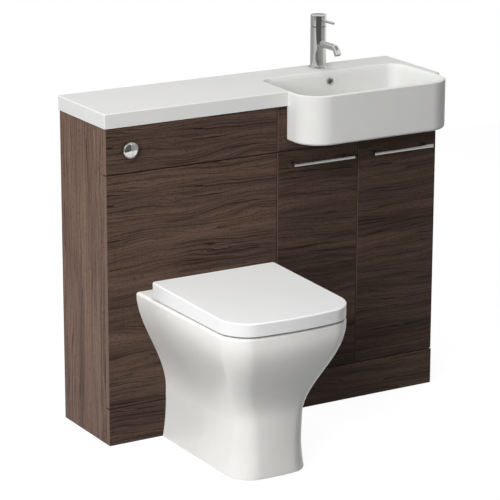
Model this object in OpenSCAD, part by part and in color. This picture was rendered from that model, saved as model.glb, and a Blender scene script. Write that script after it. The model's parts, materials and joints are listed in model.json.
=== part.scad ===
// Toilet and basin combination unit: a WC unit and a vanity unit side by side under one cast
// top, with a back-to-wall pan and a concealed cistern. All sizes are in millimetres.
// The origin is on the floor against the wall, where the two units meet. X runs to the right
// along the front, Y towards the wall and Z up.

/* [Cabinets] */
// Width of the WC unit
wc_w = 500; // [480:5:560]
// Width of the vanity unit
vanity_w = 500; // [470:5:600]
// Height of both cabinets, floor to the underside of the top
carcass_h = 838; // [800:2:880]
// Depth from the wall to the face of the doors
carcass_d = 255; // [250:1:280]
// Thickness of the boards
board_t = 18; // [15:1:19]
// Height of the plinth
plinth_h = 100; // [90:5:120]
// Height of the fascia band under the top
fascia_h = 121; // [115:1:135]
// Gap between neighbouring fronts
front_gap = 3; // [2:0.5:4]
// Gap between the fronts and the front edges of the side panels
reveal = 2; // [1.5:0.5:3]
// Gap between the fascias and the top
top_gap = 2; // [1:0.5:3]
// Width of the flat rail under the front of the top
front_rail_w = 60; // [45:5:75]
// Thickness of the shelf
shelf_t = 18; // [15:1:19]
// Height of the shelf's upper face
shelf_z = 400; // [340:10:440]
// Width of the service void behind the shelf
shelf_back = 50; // [45:1:80]

/* [Rails and blocks] */
// Height of the upper rail in the WC unit
wc_top_rail_h = 90; // [80:5:110]
// Distance by which the rail behind the cistern reaches below it
wc_mid_rail_drop = 30; // [24:2:50]
// Height of the rail that carries the cistern
wc_mid_rail_h = 80; // [60:5:100]
// Bottom of the lowest rail in the WC unit
wc_low_rail_z = 25; // [10:5:30]
// Height of the lowest rail in the WC unit
wc_low_rail_h = 85; // [60:5:95]
// Bottom of the upper rail in the vanity unit
vanity_rail_z = 470; // [450:5:480]
// Height of the upper rail in the vanity unit
vanity_rail_h = 80; // [60:5:90]
// Height of the lower rail in the vanity unit
vanity_low_rail_h = 90; // [60:5:120]
// Distance between the wall screws of one rail
wall_screw_pitch = 320; // [200:10:360]
// Radius of a wall screw hole
wall_screw_r = 3; // [2:0.5:4]
// Edge length of a corner fixing block
block = 20; // [16:1:24]

/* [Doors] */
// Height of a handle's axis below the top edge of its door
handle_drop = 30.5; // [25:0.5:60]
// Length of a handle bar
handle_l = 188; // [150:2:220]
// Radius of a handle bar
handle_r = 5; // [4:0.5:7]
// Distance from the door's face to the handle's axis
handle_out = 30; // [22:1:40]
// Distance between the two posts of a handle
handle_pitch = 160; // [96:2:176]
// Radius of a handle post
post_r = 4; // [3:0.5:5]
// Radius of a handle screw
handle_screw_r = 2; // [1.5:0.25:2.5]
// Radius of a hinge cup
cup_r = 17.5; // [13:0.5:17.5]
// Depth of a hinge cup
cup_depth = 11.5; // [9:0.5:12]
// Distance from the door's edge to the centre of a hinge cup
cup_in = 22.5; // [21:0.5:26]
// Distance from a door's end to its nearer hinge
hinge_inset = 90; // [70:5:120]

/* [Top and basin] */
// Thickness of the top
top_t = 38; // [30:1:45]
// Overhang of the top past each end of the cabinets
top_side = 5; // [3:1:12]
// Overhang of the top past the doors
top_front = 3.5; // [2:0.5:12]
// Distance from the vanity unit's left end to the basin
basin_left = 30; // [24:1:60]
// Distance from the basin to the vanity unit's right end
basin_right = 12; // [11:1:40]
// Projection of the basin past the doors
basin_out = 105; // [80:5:130]
// Height of the basin, from its underside to the top's upper face
basin_h = 131; // [122:1:140]
// Radius of the basin's front corners
basin_r = 74; // [40:2:90]
// Radius of the basin's lower edge
basin_edge_r = 7; // [3:0.5:9]
// Width of the basin's front rim
rim_front = 14; // [12:1:18]
// Width of the basin's side rims
rim_side = 13; // [12:1:18]
// Amount by which each side of the bowl draws in towards the back
bowl_taper = 9; // [6:1:16]
// Distance from the wall to the bowl's back edge
bowl_back = 94; // [90:1:115]
// Radius of the bowl's back corners
bowl_back_r = 34; // [10:1:40]
// Thickness of the bowl's walls inside the cabinet
bowl_wall = 9; // [7:0.5:9]
// Thickness of the bowl's floor
bowl_floor = 16; // [12:1:20]
// Radius between the bowl's floor and its walls
bowl_floor_r = 30; // [16:2:40]
// Distance from the wall to the centre of the waste
waste_back = 190; // [185:1:195]

/* [Waste and trap] */
// Radius of the waste flange
waste_r = 32; // [29:1:35]
// Thickness of the waste flange
waste_flange_t = 3; // [2:0.5:4]
// Radius of the threaded waste tail
waste_tail_r = 22; // [20:0.5:22]
// Length of the threaded waste tail below the bowl's floor face
waste_tail_l = 64; // [60:1:72]
// Radius of the plug's stem
plug_stem_r = 5; // [3:0.5:6]
// Lift of the plug
plug_lift = 8; // [5:1:10]
// Radius of the trap's bottle
trap_r = 30; // [28:1:32]
// Height of the trap's bottle
trap_h = 76; // [70:1:90]
// Height of the unscrewing cup of the trap
trap_cup_h = 34; // [26:1:40]
// Radius of the waste pipe
waste_pipe_r = 16; // [14:0.5:18]
// Radius of the overflow ring
overflow_r = 11; // [10:0.5:12]
// Depth of the overflow's centre below the top's upper face
overflow_drop = 28; // [24:1:34]

/* [Tap] */
// Distance from the wall to the tap's axis
tap_back = 38; // [36:1:42]
// Radius of the tap's body
tap_r = 21.5; // [20:0.5:23]
// Radius of the flange under the tap
tap_flange_r = 26; // [25:0.5:29]
// Thickness of the flange under the tap
tap_flange_t = 4; // [3:0.5:6]
// Height of the tap's body above the top
tap_body_h = 112; // [100:1:120]
// Gap between the tap's body and its head
tap_head_gap = 1.5; // [1.5:0.25:2]
// Height of the tap's head
tap_head_h = 32; // [31:1:38]
// Wall of the tap's head
tap_head_wall = 3.5; // [3:0.25:4]
// Radius of the pin lever
lever_r = 3.75; // [3:0.25:4.5]
// Reach of the pin lever from the tap's axis
lever_reach = 77; // [60:1:95]
// Height of the spout's axis above the top
spout_z = 67; // [58:1:76]
// Radius of the spout
spout_r = 9; // [8:0.5:11]
// Reach of the spout's outlet from the tap's axis
spout_reach = 93; // [86:1:120]
// Radius of the spout's bend
spout_bend_r = 14; // [12:1:20]
// Angle through which the spout bends down
spout_bend = 62; // [55:1:75]
// Radius of the threaded shank under the tap
shank_r = 15; // [14:0.5:16]
// Length of the threaded shank below the top's upper face
shank_l = 60; // [56:1:70]
// Radius of a flexible tail
tail_r = 5; // [4:0.5:5]
// Length of a flexible tail
tail_l = 256; // [240:2:262]
// Angle at which a flexible tail hangs away from the tap's axis
tail_splay = 7; // [6:0.5:8]
// Radius of the supply pipe that fits a tail's nut
supply_r = 7.6; // [7:0.1:8]

/* [Pan] */
// Distance of the pan's centre line to the right of the WC unit's middle
pan_shift = 12; // [0:1:14]
// Height of the pan's rim
rim_z = 404; // [390:1:420]
// Width of the pan at the rim
pan_rim_w = 364; // [350:1:372]
// Width of the pan's foot at its waist
pan_waist_w = 196; // [190:1:216]
// Projection of the rim from the doors
pan_rim_out = 473; // [463:1:492]
// Projection of the waist from the doors
pan_waist_out = 387; // [375:1:400]
// Height at which the pan starts to flare out
flare_z = 136; // [128:1:146]
// Height at which the front of the pan has flared out
flare_front_z = 381; // [370:1:388]
// Spread of the foot at the floor, each side
foot_spread = 10; // [4:0.5:12]
// Spread of the foot at the floor, at the front
foot_front = 2; // [0:0.5:6]
// Radius of the pan's front corners at the foot
foot_r = 57; // [46:1:62]
// Radius of the pan's front corners half way up
waist_r = 41; // [36:1:50]
// Radius of the pan's front corners at the rim
rim_r = 64; // [56:1:76]
// Amount by which each side of the rim draws in towards the front
pan_taper = 3.5; // [2:0.5:8]
// Bow of the rim's front
pan_bow = 18.5; // [12:0.5:20]
// Radius of the rim's outer edge
rim_edge_r = 8; // [5:0.5:10]
// Thickness of the china
china_t = 13; // [11:0.5:15]
// Thickness of the deck and rim
deck_t = 40; // [34:1:44]
// Width of the bowl's mouth
mouth_w = 236; // [220:2:248]
// Width of the rim in front of the bowl's mouth
mouth_front = 44; // [38:1:50]
// Distance from the doors to the back of the bowl's mouth
mouth_back = 130; // [124:1:140]
// Radius of the back corners of the bowl's mouth
mouth_back_r = 60; // [40:1:80]
// Radius of the front corners of the bowl's mouth
mouth_front_r = 96; // [70:1:100]
// Height of the bottom of the bowl
sump_z = 190; // [180:1:200]
// Width of the bottom of the bowl
sump_w = 84; // [76:2:96]
// Distance from the doors to the back of the bowl's bottom
sump_back = 215; // [205:1:225]
// Distance from the doors to the front of the bowl's bottom
sump_front = 330; // [315:1:340]
// Height of the flush inlet
flush_z = 336; // [330:1:340]
// Height of the soil outlet
soil_z = 185; // [180:1:190]
// Outer radius of the soil spigot
spigot_r = 51; // [50:0.5:52]
// Length of the soil spigot
spigot_l = 60; // [50:1:64]
// Inner radius of the trapway
trapway_r = 34; // [30:1:37]
// Height by which the trapway climbs above the sump
trapway_rise = 76; // [66:1:84]
// Distance from the doors to the floor brackets inside the foot
bracket_out = 180; // [160:5:240]

/* [Seat and lid] */
// Distance between the two hinge posts
seat_pitch = 156; // [150:1:170]
// Distance from the doors to the hinge axis
seat_axis_out = 58; // [56:1:62]
// Height of the hinge axis above the rim
seat_axis_up = 22; // [20:1:24]
// Radius of the hinge pins
seat_pin_r = 4; // [3:0.25:4.5]
// Width of the lid
lid_w = 360; // [352:1:368]
// Distance from the doors to the lid's back edge
lid_back = 79; // [77:1:82]
// Projection of the lid from the doors
lid_out = 477; // [468:1:486]
// Radius of the lid's front corners
lid_r = 67; // [58:1:76]
// Height of the lid's lower edge above the rim
lid_gap = 5; // [4:0.5:6]
// Thickness of the lid at its back
lid_back_h = 42; // [40:1:45]
// Thickness of the lid at its front
lid_front_h = 34; // [31:1:38]
// Radius of the lid's upper edge
lid_edge_r = 3.5; // [2:0.5:4]
// Wall of the lid
lid_wall = 4.5; // [4:0.5:5]
// Thickness of the seat
seat_t = 15; // [13:0.5:16]
// Width of the seat
seat_ring = 58; // [50:1:62]
// Distance of the buffers from the lid's side
buffer_in = 38; // [34:1:44]

/* [Cistern] */
// Width of the cistern
cistern_w = 350; // [330:5:360]
// Depth of the cistern
cistern_d = 138; // [125:1:140]
// Distance from the underside of the top down to the cistern
cistern_drop = 68; // [64:1:80]
// Height of the cistern without its lid
cistern_h = 280; // [260:5:290]
// Wall of the cistern
cistern_wall = 4; // [3:0.5:5]
// Radius of the flush pipe
flush_r = 20; // [18:0.5:21]
// Bend radius of the flush pipe
flush_bend_r = 42; // [40:1:50]
// Radius of the flush valve's body
valve_r = 38; // [34:1:42]
// Height of the flush valve's body
valve_h = 205; // [190:5:210]
// Lift of the flush riser
riser_lift = 18; // [10:1:24]
// Distance from the cistern's end to the fill valve
fill_in = 40; // [34:1:44]
// Outer radius of the soil connector
soil_r = 55; // [54.5:0.5:57]

/* [Flush button] */
// Distance from the WC unit's left end to the button's centre
button_x = 66; // [60:1:90]
// Distance from the underside of the top down to the button's centre
button_drop = 60; // [54:1:66]
// Radius of the button's bezel
bezel_r = 22.5; // [20:0.5:25]
// Projection of the bezel
bezel_out = 12; // [8:0.5:14]
// Wall of the bezel
bezel_wall = 3.5; // [3.5:0.25:5]
// Travel of the buttons
button_travel = 5; // [3:0.5:6]
// Radius of an air tube
air_r = 2.5; // [2:0.5:3]

/* [Hidden] */
$fn = 48;
fit = 0.05;      // radial clearance of a running fit
seat_clear = 0.3; // clearance between pieces that rest close together
loose = 1;       // radial clearance of a hole that a piece only passes through
over = 1;        // how far a cut runs past the face it cuts

x_left = -wc_w;
x_right = vanity_w;
y_face = -carcass_d;
y_fronts = y_face + board_t;
y_sides = y_fronts + reveal;
z_deck = carcass_h + top_t;
cistern_z = carcass_h - cistern_drop - cistern_h;
z_fascia = carcass_h - fascia_h;
door_w = vanity_w / 2 - front_gap;
door_z0 = plinth_h + front_gap / 2;
door_z1 = z_fascia - front_gap / 2;
handle_z = door_z1 - handle_drop;
hinge_zs = [door_z0 + hinge_inset, door_z1 - hinge_inset];

basin_x = (basin_left + vanity_w - basin_right) / 2;
basin_half = (vanity_w - basin_left - basin_right) / 2;
y_basin = y_face - basin_out;
z_basin = z_deck - basin_h;
z_bowl = z_basin + bowl_floor;
bowl_half = basin_half - rim_side;
waste = [basin_x, -waste_back];
waste_hole_r = waste_tail_r + loose;

tap = [basin_x, -tap_back];
z_head = z_deck + tap_body_h + tap_head_gap;
head_pivot = [14.6, 18]; // behind the tap's axis, and above the head's lower edge
head_pin = [1.25, 8.3]; // radius and half length
lever_z = z_head + 18;
carrier_r = 17.5;

pan_x = pan_shift - wc_w / 2;
spigot_in = 100; // how far the soil bore runs into the pan
seat_y = y_face - seat_axis_out;
seat_z = rim_z + seat_axis_up;
knuckle_r = 8.5;
post_half = 12;
knuckle_w = 12;
lid_z = rim_z + lid_gap;

y_tank = -board_t - cistern_d;
tank_mid_y = -board_t - cistern_d / 2;
fill_x = pan_x - cistern_w / 2 + fill_in;
button = [x_left + button_x, y_face, carcass_h - button_drop];
barrel_l = board_t + 30;
barrel_r = bezel_r - 1.5;

walnut = "#4c3b33";
cast_white = "#e8e8e6";
china = "#e4e4e1";
chrome = "#b9bcc0";
satin = "#9a9a98";
plastic = "#f0f0ee";
rubber = "#3a3a3c";

// ---------------------------------------------------------------- shared shapes

// A box between two opposite corners
module slab(lo, hi) {
    translate(lo) cube(hi - lo);
}

// Round bars that start at p and run along one axis
module bar_x(p, r, l) {
    translate(p) rotate([0, 90, 0]) cylinder(r = r, h = l);
}

module bar_y(p, r, l) {
    translate(p) rotate([-90, 0, 0]) cylinder(r = r, h = l);
}

module bar_z(p, r, l) {
    translate(p) cylinder(r = r, h = l);
}

// A ring on the Z axis
module ring_z(p, r_out, r_in, l) {
    translate(p) difference() {
        cylinder(r = r_out, h = l);
        translate([0, 0, -over]) cylinder(r = r_in, h = l + 2 * over);
    }
}

function ease(t) = let (u = min(1, max(0, t))) u * u * (3 - 2 * u);

function mix(a, b, t) = a + (b - a) * t;

// A quarter circle in n steps, starting at angle a0
function quarter(cx, cy, r, a0, n) =
    [for (i = [0:n]) let (a = a0 + 90 * i / n) [cx + r * cos(a), cy + r * sin(a)]];

// A rounded plan outline about x = 0: half width w, back edge at y0, front edge at y1, corner
// radii rb and rf. Each side draws in by taper at the front, and the front bows out by bow.
function outline(w, y0, y1, rb, rf, taper = 0, bow = 0, n = 6) =
    let (pts = concat(
        quarter(w - rb, y0 - rb, rb, 0, n),
        quarter(rb - w, y0 - rb, rb, 90, n),
        quarter(rf - w, y1 + rf, rf, 180, n),
        [for (k = [-1:1]) [k * (w - rf) / 2, y1]],
        quarter(w - rf, y1 + rf, rf, 270, n)))
    [for (p = pts) let (t = (y0 - p[1]) / (y0 - y1))
        [p[0] * (1 - taper * t / w), p[1] - bow * pow(t, 4) * (1 - pow(p[0] / w, 2))]];

function ring_at(pts, z) = [for (p = pts) [p[0], p[1], z]];

// A closed solid through rings that all have the same number of points, lowest ring first
module loft(rings) {
    n = len(rings[0]);
    last = (len(rings) - 1) * n;
    sides = [for (j = [0:len(rings) - 2]) for (i = [0:n - 1])
        let (a = j * n + i, b = j * n + (i + 1) % n)
        each [[a, a + n, b + n], [a, b + n, b]]];
    ends = [[for (i = [0:n - 1]) i], [for (i = [n - 1:-1:0]) last + i]];
    polyhedron([for (r = rings) for (p = r) p], concat(ends, sides));
}

// A round tube swept along points, with its sections square to the path
function unit(v) = v / norm(v);
function run_dir(path, i) =
    unit(path[min(i + 1, len(path) - 1)] - path[max(i - 1, 0)]);
module tube_along(path, r, sides = 8) {
    loft([for (i = [0:len(path) - 1])
        let (d = run_dir(path, i), u = unit(cross(d, [0.3, 0.2, 1])), v = cross(d, u))
        [for (k = [0:sides - 1]) let (a = 360 * k / sides)
            path[i] + r * (cos(a) * u + sin(a) * v)]]);
}

// A smooth path between two points that leaves along d0 and arrives along d1
function bezier(p0, p1, p2, p3, t) =
    pow(1 - t, 3) * p0 + 3 * t * pow(1 - t, 2) * p1 + 3 * t * t * (1 - t) * p2 + t * t * t * p3;
function easy_path(p, d0, q, d1, n = 12) =
    [for (i = [0:n]) bezier(p, p + d0, q - d1, q, i / n)];

// Sets a child down at both sides of the plane x = c
module both_sides(c, half) {
    translate([c + half, 0, 0]) children();
    translate([c - half, 0, 0]) mirror([1, 0, 0]) children();
}

// ---------------------------------------------------------------- cabinets

module side_panel(x0) {
    slab([x0, y_sides, 0], [x0 + board_t, 0, carcass_h]);
}

// Shelf pins stand in pairs near the front and the back of the shelf
pin_r = 2.5;
pin_in = 8;
pin_out = 9;
pin_ys = [y_sides + 35, -shelf_back - 25];
pin_z = shelf_z - shelf_t - pin_r;

module pins(r, deep) {
    for (y = pin_ys) {
        bar_x([board_t - deep, y, pin_z], r, deep + pin_out);
        bar_x([x_right - board_t - pin_out, y, pin_z], r, deep + pin_out);
    }
}

module wc_left_side() {
    color(walnut) side_panel(x_left);
}

module wc_right_side() {
    color(walnut) side_panel(-board_t);
}

module vanity_left_side() {
    color(walnut) difference() {
        side_panel(0);
        pins(pin_r + fit, pin_in);
    }
}

module vanity_right_side() {
    color(walnut) difference() {
        side_panel(x_right - board_t);
        pins(pin_r + fit, pin_in);
    }
}

// A rail against the wall between two sides, with two screw holes up from its lower edge
module back_rail(x0, x1, z0, h, up) {
    difference() {
        slab([x0, -board_t, z0], [x1, 0, z0 + h]);
        for (s = [-1, 1])
            bar_y([(x0 + x1) / 2 + s * wall_screw_pitch / 2, -board_t - over, z0 + up],
                wall_screw_r, board_t + 2 * over);
    }
}

module carcass_rails() {
    wc = [x_left + board_t, -board_t];
    vanity = [board_t, x_right - board_t];
    color(walnut) {
        back_rail(wc[0], wc[1], carcass_h - wc_top_rail_h, wc_top_rail_h, wc_top_rail_h - 35);
        back_rail(wc[0], wc[1], cistern_z - wc_mid_rail_drop, wc_mid_rail_h, wc_mid_rail_drop / 2);
        back_rail(wc[0], wc[1], wc_low_rail_z, wc_low_rail_h, wc_low_rail_h / 2);
        back_rail(vanity[0], vanity[1], vanity_rail_z, vanity_rail_h, vanity_rail_h / 2);
        back_rail(vanity[0], vanity[1], plinth_h + board_t, vanity_low_rail_h, vanity_low_rail_h / 2);
        slab([wc[0], y_sides, carcass_h - board_t], [wc[1], y_sides + front_rail_w, carcass_h]);
    }
}

// Blocks that hold the fronts to the sides from inside
module fixing_blocks() {
    low = plinth_h / 2 - block / 2;
    wc_zs = [z_fascia + block / 4, z_fascia - 3 * block, plinth_h + 3 * block, low];
    vanity_zs = [z_fascia + block / 4, low];
    color(plastic) {
        for (z = wc_zs) {
            slab([x_left + board_t, y_fronts, z], [x_left + board_t + block, y_fronts + block, z + block]);
            slab([-board_t - block, y_fronts, z], [-board_t, y_fronts + block, z + block]);
        }
        for (z = vanity_zs) {
            slab([board_t, y_fronts, z], [board_t + block, y_fronts + block, z + block]);
            slab([x_right - board_t - block, y_fronts, z],
                [x_right - board_t, y_fronts + block, z + block]);
        }
    }
}

module wc_fascia() {
    color(walnut) difference() {
        slab([x_left, y_face, z_fascia + front_gap / 2],
            [-front_gap / 2, y_fronts, carcass_h - top_gap]);
        bar_y(button - [0, over, 0], barrel_r + fit, board_t + 2 * over);
    }
}

module wc_access_panel() {
    color(walnut) difference() {
        slab([x_left, y_face, door_z0], [-front_gap / 2, y_fronts, door_z1]);
        bar_y([pan_x, y_face - over, flush_z], flush_r + 10, board_t + 2 * over);
        bar_y([pan_x, y_face - over, soil_z], soil_r + 6, board_t + 2 * over);
    }
}

module plinths() {
    z1 = plinth_h - front_gap / 2;
    color(walnut) {
        slab([x_left, y_face, 0], [-front_gap / 2, y_fronts, z1]);
        slab([front_gap / 2, y_face, 0], [x_right, y_fronts, z1]);
    }
}

module vanity_base() {
    color(walnut) slab([board_t, y_sides, plinth_h], [x_right - board_t, 0, plinth_h + board_t]);
}

module vanity_shelf() {
    color(walnut) slab([board_t + seat_clear, y_sides + 8, shelf_z - shelf_t],
        [x_right - board_t - seat_clear, -shelf_back, shelf_z]);
}

module shelf_pins() {
    color(chrome) intersection() {
        pins(pin_r, pin_in - seat_clear);
        slab([0, y_sides, 0], [x_right, 0, shelf_z]);
    }
}

module vanity_fascia() {
    cut = basin_half + seat_clear + loose;
    color(walnut) difference() {
        slab([front_gap / 2, y_face, z_fascia + front_gap / 2],
            [x_right, y_fronts, carcass_h - top_gap]);
        slab([basin_x - cut, y_face - over, z_basin - seat_clear - loose],
            [basin_x + cut, y_fronts + over, z_deck]);
    }
}

// ---------------------------------------------------------------- doors

// Doors, handles and cups are drawn for the left door. The right door mirrors them.
module as_right() {
    translate([x_right, 0, 0]) mirror([1, 0, 0]) children();
}

handle_mid = front_gap / 2 + door_w / 2;
cup_x = front_gap / 2 + cup_in;

module post_places(y) {
    for (s = [-1, 1]) translate([handle_mid + s * handle_pitch / 2, y, handle_z]) children();
}

module door() {
    color(walnut) difference() {
        slab([front_gap / 2, y_face, door_z0], [front_gap / 2 + door_w, y_fronts, door_z1]);
        for (z = hinge_zs)
            bar_y([cup_x, y_fronts - cup_depth - fit, z], cup_r + fit, cup_depth + over);
        post_places(y_face - over) bar_y([0, 0, 0], handle_screw_r + fit, board_t + 2 * over);
    }
}

module handle() {
    tap_depth = 12;
    color(satin) difference() {
        union() {
            bar_x([handle_mid - handle_l / 2, y_face - handle_out, handle_z], handle_r, handle_l);
            post_places(y_face - handle_out) bar_y([0, 0, 0], post_r, handle_out);
        }
        post_places(y_face - tap_depth) bar_y([0, 0, 0], handle_screw_r + fit, tap_depth + over);
    }
}

module handle_screws() {
    thread = 10;
    head_r = 4.5;
    head_t = 2;
    color(satin) post_places(y_face - thread) {
        bar_y([0, 0, 0], handle_screw_r, thread + board_t);
        bar_y([0, thread + board_t, 0], head_r, head_t);
    }
}

flange_t = 1.5;

module hinge_cups() {
    shell = 1.2;
    color(satin) for (z = hinge_zs) difference() {
        union() {
            bar_y([cup_x, y_fronts - cup_depth, z], cup_r, cup_depth);
            slab([cup_x - 11, y_fronts, z - 30], [cup_x + 11, y_fronts + flange_t, z + 30]);
        }
        bar_y([cup_x, y_fronts - cup_depth + shell, z], min(cup_r, 11) - shell, cup_depth + over);
    }
}

// Each arm has a plate on the side panel and reaches forward to its cup
module hinge_arm(z) {
    plate_t = 4;
    arm_t = 14;
    color(satin) {
        slab([board_t, y_sides + 20, z - 25], [board_t + plate_t, y_sides + 70, z + 25]);
        slab([board_t + plate_t, y_fronts + flange_t + seat_clear, z - 9],
            [board_t + plate_t + arm_t, y_sides + 66, z + 9]);
    }
}

module hinge_arms() {
    for (z = hinge_zs) {
        hinge_arm(z);
        as_right() hinge_arm(z);
    }
}

module left_door() {
    door();
}

module right_door() {
    as_right() door();
}

module left_handle() {
    handle();
}

module right_handle() {
    as_right() handle();
}

module left_handle_screws() {
    handle_screws();
}

module right_handle_screws() {
    as_right() handle_screws();
}

module left_hinge_cups() {
    hinge_cups();
}

module right_hinge_cups() {
    as_right() hinge_cups();
}

module door_bumpers() {
    bumper_r = 4;
    color(plastic) for (z = [door_z0 + 20, door_z1 - 20], x = [board_t / 2, x_right - board_t / 2])
        bar_y([x, y_fronts + seat_clear, z], bumper_r, reveal - seat_clear);
}

// ---------------------------------------------------------------- top and basin

// One ring of the bowl, drawn in by inset from the bowl's mouth
function bowl_ring(inset, z) = ring_at(outline(
    bowl_half - inset, -bowl_back - inset, y_basin + rim_front + inset,
    max(2, bowl_back_r - inset / 2), max(8, basin_r - rim_front - inset / 2), -bowl_taper), z);

// The bowl's sides lean in a little and turn into its floor with a radius
bowl_lean = [3, 8]; // how far the sides lean in near the rim, and above the floor's radius
lean_z = [z_deck - 12, z_bowl + bowl_floor_r];

function bowl_rings() =
    let (r = bowl_floor_r)
    concat(
        [for (i = [0:4]) let (a = 90 * i / 4)
            bowl_ring(bowl_lean[1] + r * (1 - sin(a)), z_bowl + r * (1 - cos(a)))],
        [bowl_ring(bowl_lean[0], lean_z[0]), bowl_ring(0, z_deck - 2), bowl_ring(-2, z_deck),
            bowl_ring(-2, z_deck + over)]);

// Places a child on the bowl's back wall at the overflow, with +Z into the wall
module at_overflow() {
    z = z_deck - overflow_drop;
    t = (lean_z[0] - z) / (lean_z[0] - lean_z[1]);
    tilt = atan2(bowl_lean[1] - bowl_lean[0], lean_z[0] - lean_z[1]);
    translate([basin_x, -bowl_back - mix(bowl_lean[0], bowl_lean[1], t), z])
        rotate([-90 - tilt, 0, 0]) children();
}

// The basin outside the cabinet, rounded along its lower edge
function basin_ring(inset, z) = ring_at(outline(
    basin_half - inset, y_fronts - seat_clear, y_basin + inset, 2, basin_r - inset), z);

module basin_front() {
    steps = 3;
    translate([basin_x, 0, 0]) loft(concat(
        [for (i = [0:steps]) let (a = 90 * i / steps)
            basin_ring(basin_edge_r * (1 - sin(a)), z_basin + basin_edge_r * (1 - cos(a)))],
        [basin_ring(0, z_deck - 2), basin_ring(2, z_deck)]));
}

// The bowl's outside within the cabinet
module basin_back() {
    w = bowl_half - bowl_taper / 2 + bowl_wall;
    translate([basin_x, 0, 0]) linear_extrude(height = z_deck - z_basin - over)
        polygon(outline(w, bowl_wall - bowl_back, y_fronts - seat_clear - over,
            bowl_back_r + bowl_wall, 2, 0, 0, 4));
}

module basin_top() {
    color(cast_white) difference() {
        union() {
            slab([x_left - top_side, y_face - top_front, carcass_h], [x_right + top_side, 0, z_deck]);
            basin_front();
            translate([0, 0, z_basin]) basin_back();
        }
        translate([basin_x, 0, 0]) loft(bowl_rings());
        bar_z([waste[0], waste[1], z_basin - over], waste_hole_r, basin_h);
        bar_z([tap[0], tap[1], carcass_h - over], shank_r + loose, top_t + 2 * over);
        at_overflow() translate([0, 0, -over]) cylinder(r = overflow_r - 3, h = 10 + over);
    }
}

module overflow_ring() {
    depth = 8;
    lip = 1.5;
    color(chrome) at_overflow() difference() {
        union() {
            translate([0, 0, -lip]) cylinder(r = overflow_r, h = lip);
            cylinder(r = overflow_r - 3 - fit, h = depth);
        }
        translate([0, 0, -over - lip]) cylinder(r = overflow_r - 4.5, h = depth + 2 * over + lip);
    }
}

module waste_flange() {
    color(chrome) translate([waste[0], waste[1], z_bowl]) difference() {
        union() {
            cylinder(r = waste_r, h = waste_flange_t);
            translate([0, 0, -waste_tail_l]) cylinder(r = waste_tail_r, h = waste_tail_l + over);
        }
        translate([0, 0, -waste_tail_l - over]) cylinder(r = waste_tail_r - 3, h = waste_tail_l - 10);
        translate([0, 0, -8]) cylinder(r = waste_tail_r - 3, h = 8 + waste_flange_t + over);
        translate([0, 0, -waste_tail_l]) cylinder(r = plug_stem_r + fit, h = waste_tail_l);
        for (a = [0:60:300]) rotate([0, 0, a]) translate([12, 0, -waste_tail_l])
            cylinder(r = 4, h = waste_tail_l);
    }
}

module waste_nut() {
    nut_r = 31;
    washer_t = 3;
    nut_t = 9;
    color(plastic) translate([0, 0, z_basin - washer_t])
        ring_z([waste[0], waste[1], 0], nut_r, waste_tail_r + fit, washer_t);
    color(plastic) translate([waste[0], waste[1], z_basin - washer_t - nut_t]) difference() {
        cylinder(r = nut_r, h = nut_t, $fn = 6);
        translate([0, 0, -over]) cylinder(r = waste_tail_r + fit, h = nut_t + 2 * over);
    }
}

// The plug is shown pressed down, and pops up by its lift
module waste_plug() {
    cap_r = waste_r - 4;
    cap_t = 4;
    color(chrome) translate([waste[0], waste[1], z_bowl + waste_flange_t]) {
        translate([0, 0, seat_clear]) cylinder(r = cap_r, h = cap_t);
        translate([0, 0, -28]) cylinder(r = plug_stem_r, h = 28 + seat_clear + over);
    }
}

trap_nut_h = 26;
trap_socket = 22; // how far the outlet's socket stands out of the bottle
z_tail = z_bowl - waste_tail_l;
z_trap = z_tail + 12;
z_bottle = z_trap - trap_nut_h - trap_h;
z_outlet = z_bottle + trap_h - waste_pipe_r - 6;

module bottle_trap() {
    wall = 3;
    inner_r = 13;
    color(plastic) translate([waste[0], waste[1], 0]) difference() {
        union() {
            bar_z([0, 0, z_trap - trap_nut_h], waste_tail_r + 5, trap_nut_h);
            bar_z([0, 0, z_bottle], trap_r, trap_h);
            bar_y([0, 0, z_outlet], waste_pipe_r + wall + 2, trap_r + trap_socket);
        }
        bar_z([0, 0, z_tail - fit], waste_tail_r + fit, trap_nut_h);
        difference() {
            bar_z([0, 0, z_bottle - over], trap_r - wall, trap_h + over - wall);
            bar_z([0, 0, z_bottle - 2 * over], inner_r + 2, trap_h + 4 * over);
        }
        bar_z([0, 0, z_bottle - 2 * over], inner_r, trap_h + trap_nut_h);
        bar_y([0, trap_r - 2 * wall, z_outlet], waste_pipe_r - 2, 2 * wall + over);
        bar_y([0, trap_r + 2, z_outlet], waste_pipe_r - 0.5 + fit, trap_socket + over);
    }
}

module trap_cup() {
    wall = 3;
    color(plastic) translate([waste[0], waste[1], z_bottle - trap_cup_h]) difference() {
        cylinder(r = trap_r, h = trap_cup_h);
        translate([0, 0, wall]) cylinder(r = trap_r - wall, h = trap_cup_h);
    }
}

module waste_pipe() {
    y0 = waste[1] + trap_r + 4;
    y1 = waste[1] + trap_r + trap_socket;
    color(plastic) difference() {
        union() {
            bar_y([waste[0], y1, z_outlet], waste_pipe_r, -y1);
            bar_y([waste[0], y0, z_outlet], waste_pipe_r - 0.5, y1 - y0 + over);
        }
        bar_y([waste[0], y0 - over, z_outlet], waste_pipe_r - 2.5, 2 * over - y0);
    }
}

// ---------------------------------------------------------------- tap

// Places a child at the end of the spout's straight run, at the top of its bend
bend_run = spout_reach - spout_bend_r * sin(spout_bend);

module at_bend() {
    translate([tap[0], tap[1] - bend_run, z_deck + spout_z]) children();
}

// Places a child at the outlet, with +Z pointing out of it
module at_outlet() {
    at_bend() translate([0, 0, -spout_bend_r]) rotate([spout_bend, 0, 0])
        translate([0, 0, spout_bend_r]) rotate([90, 0, 0]) children();
}

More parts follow.
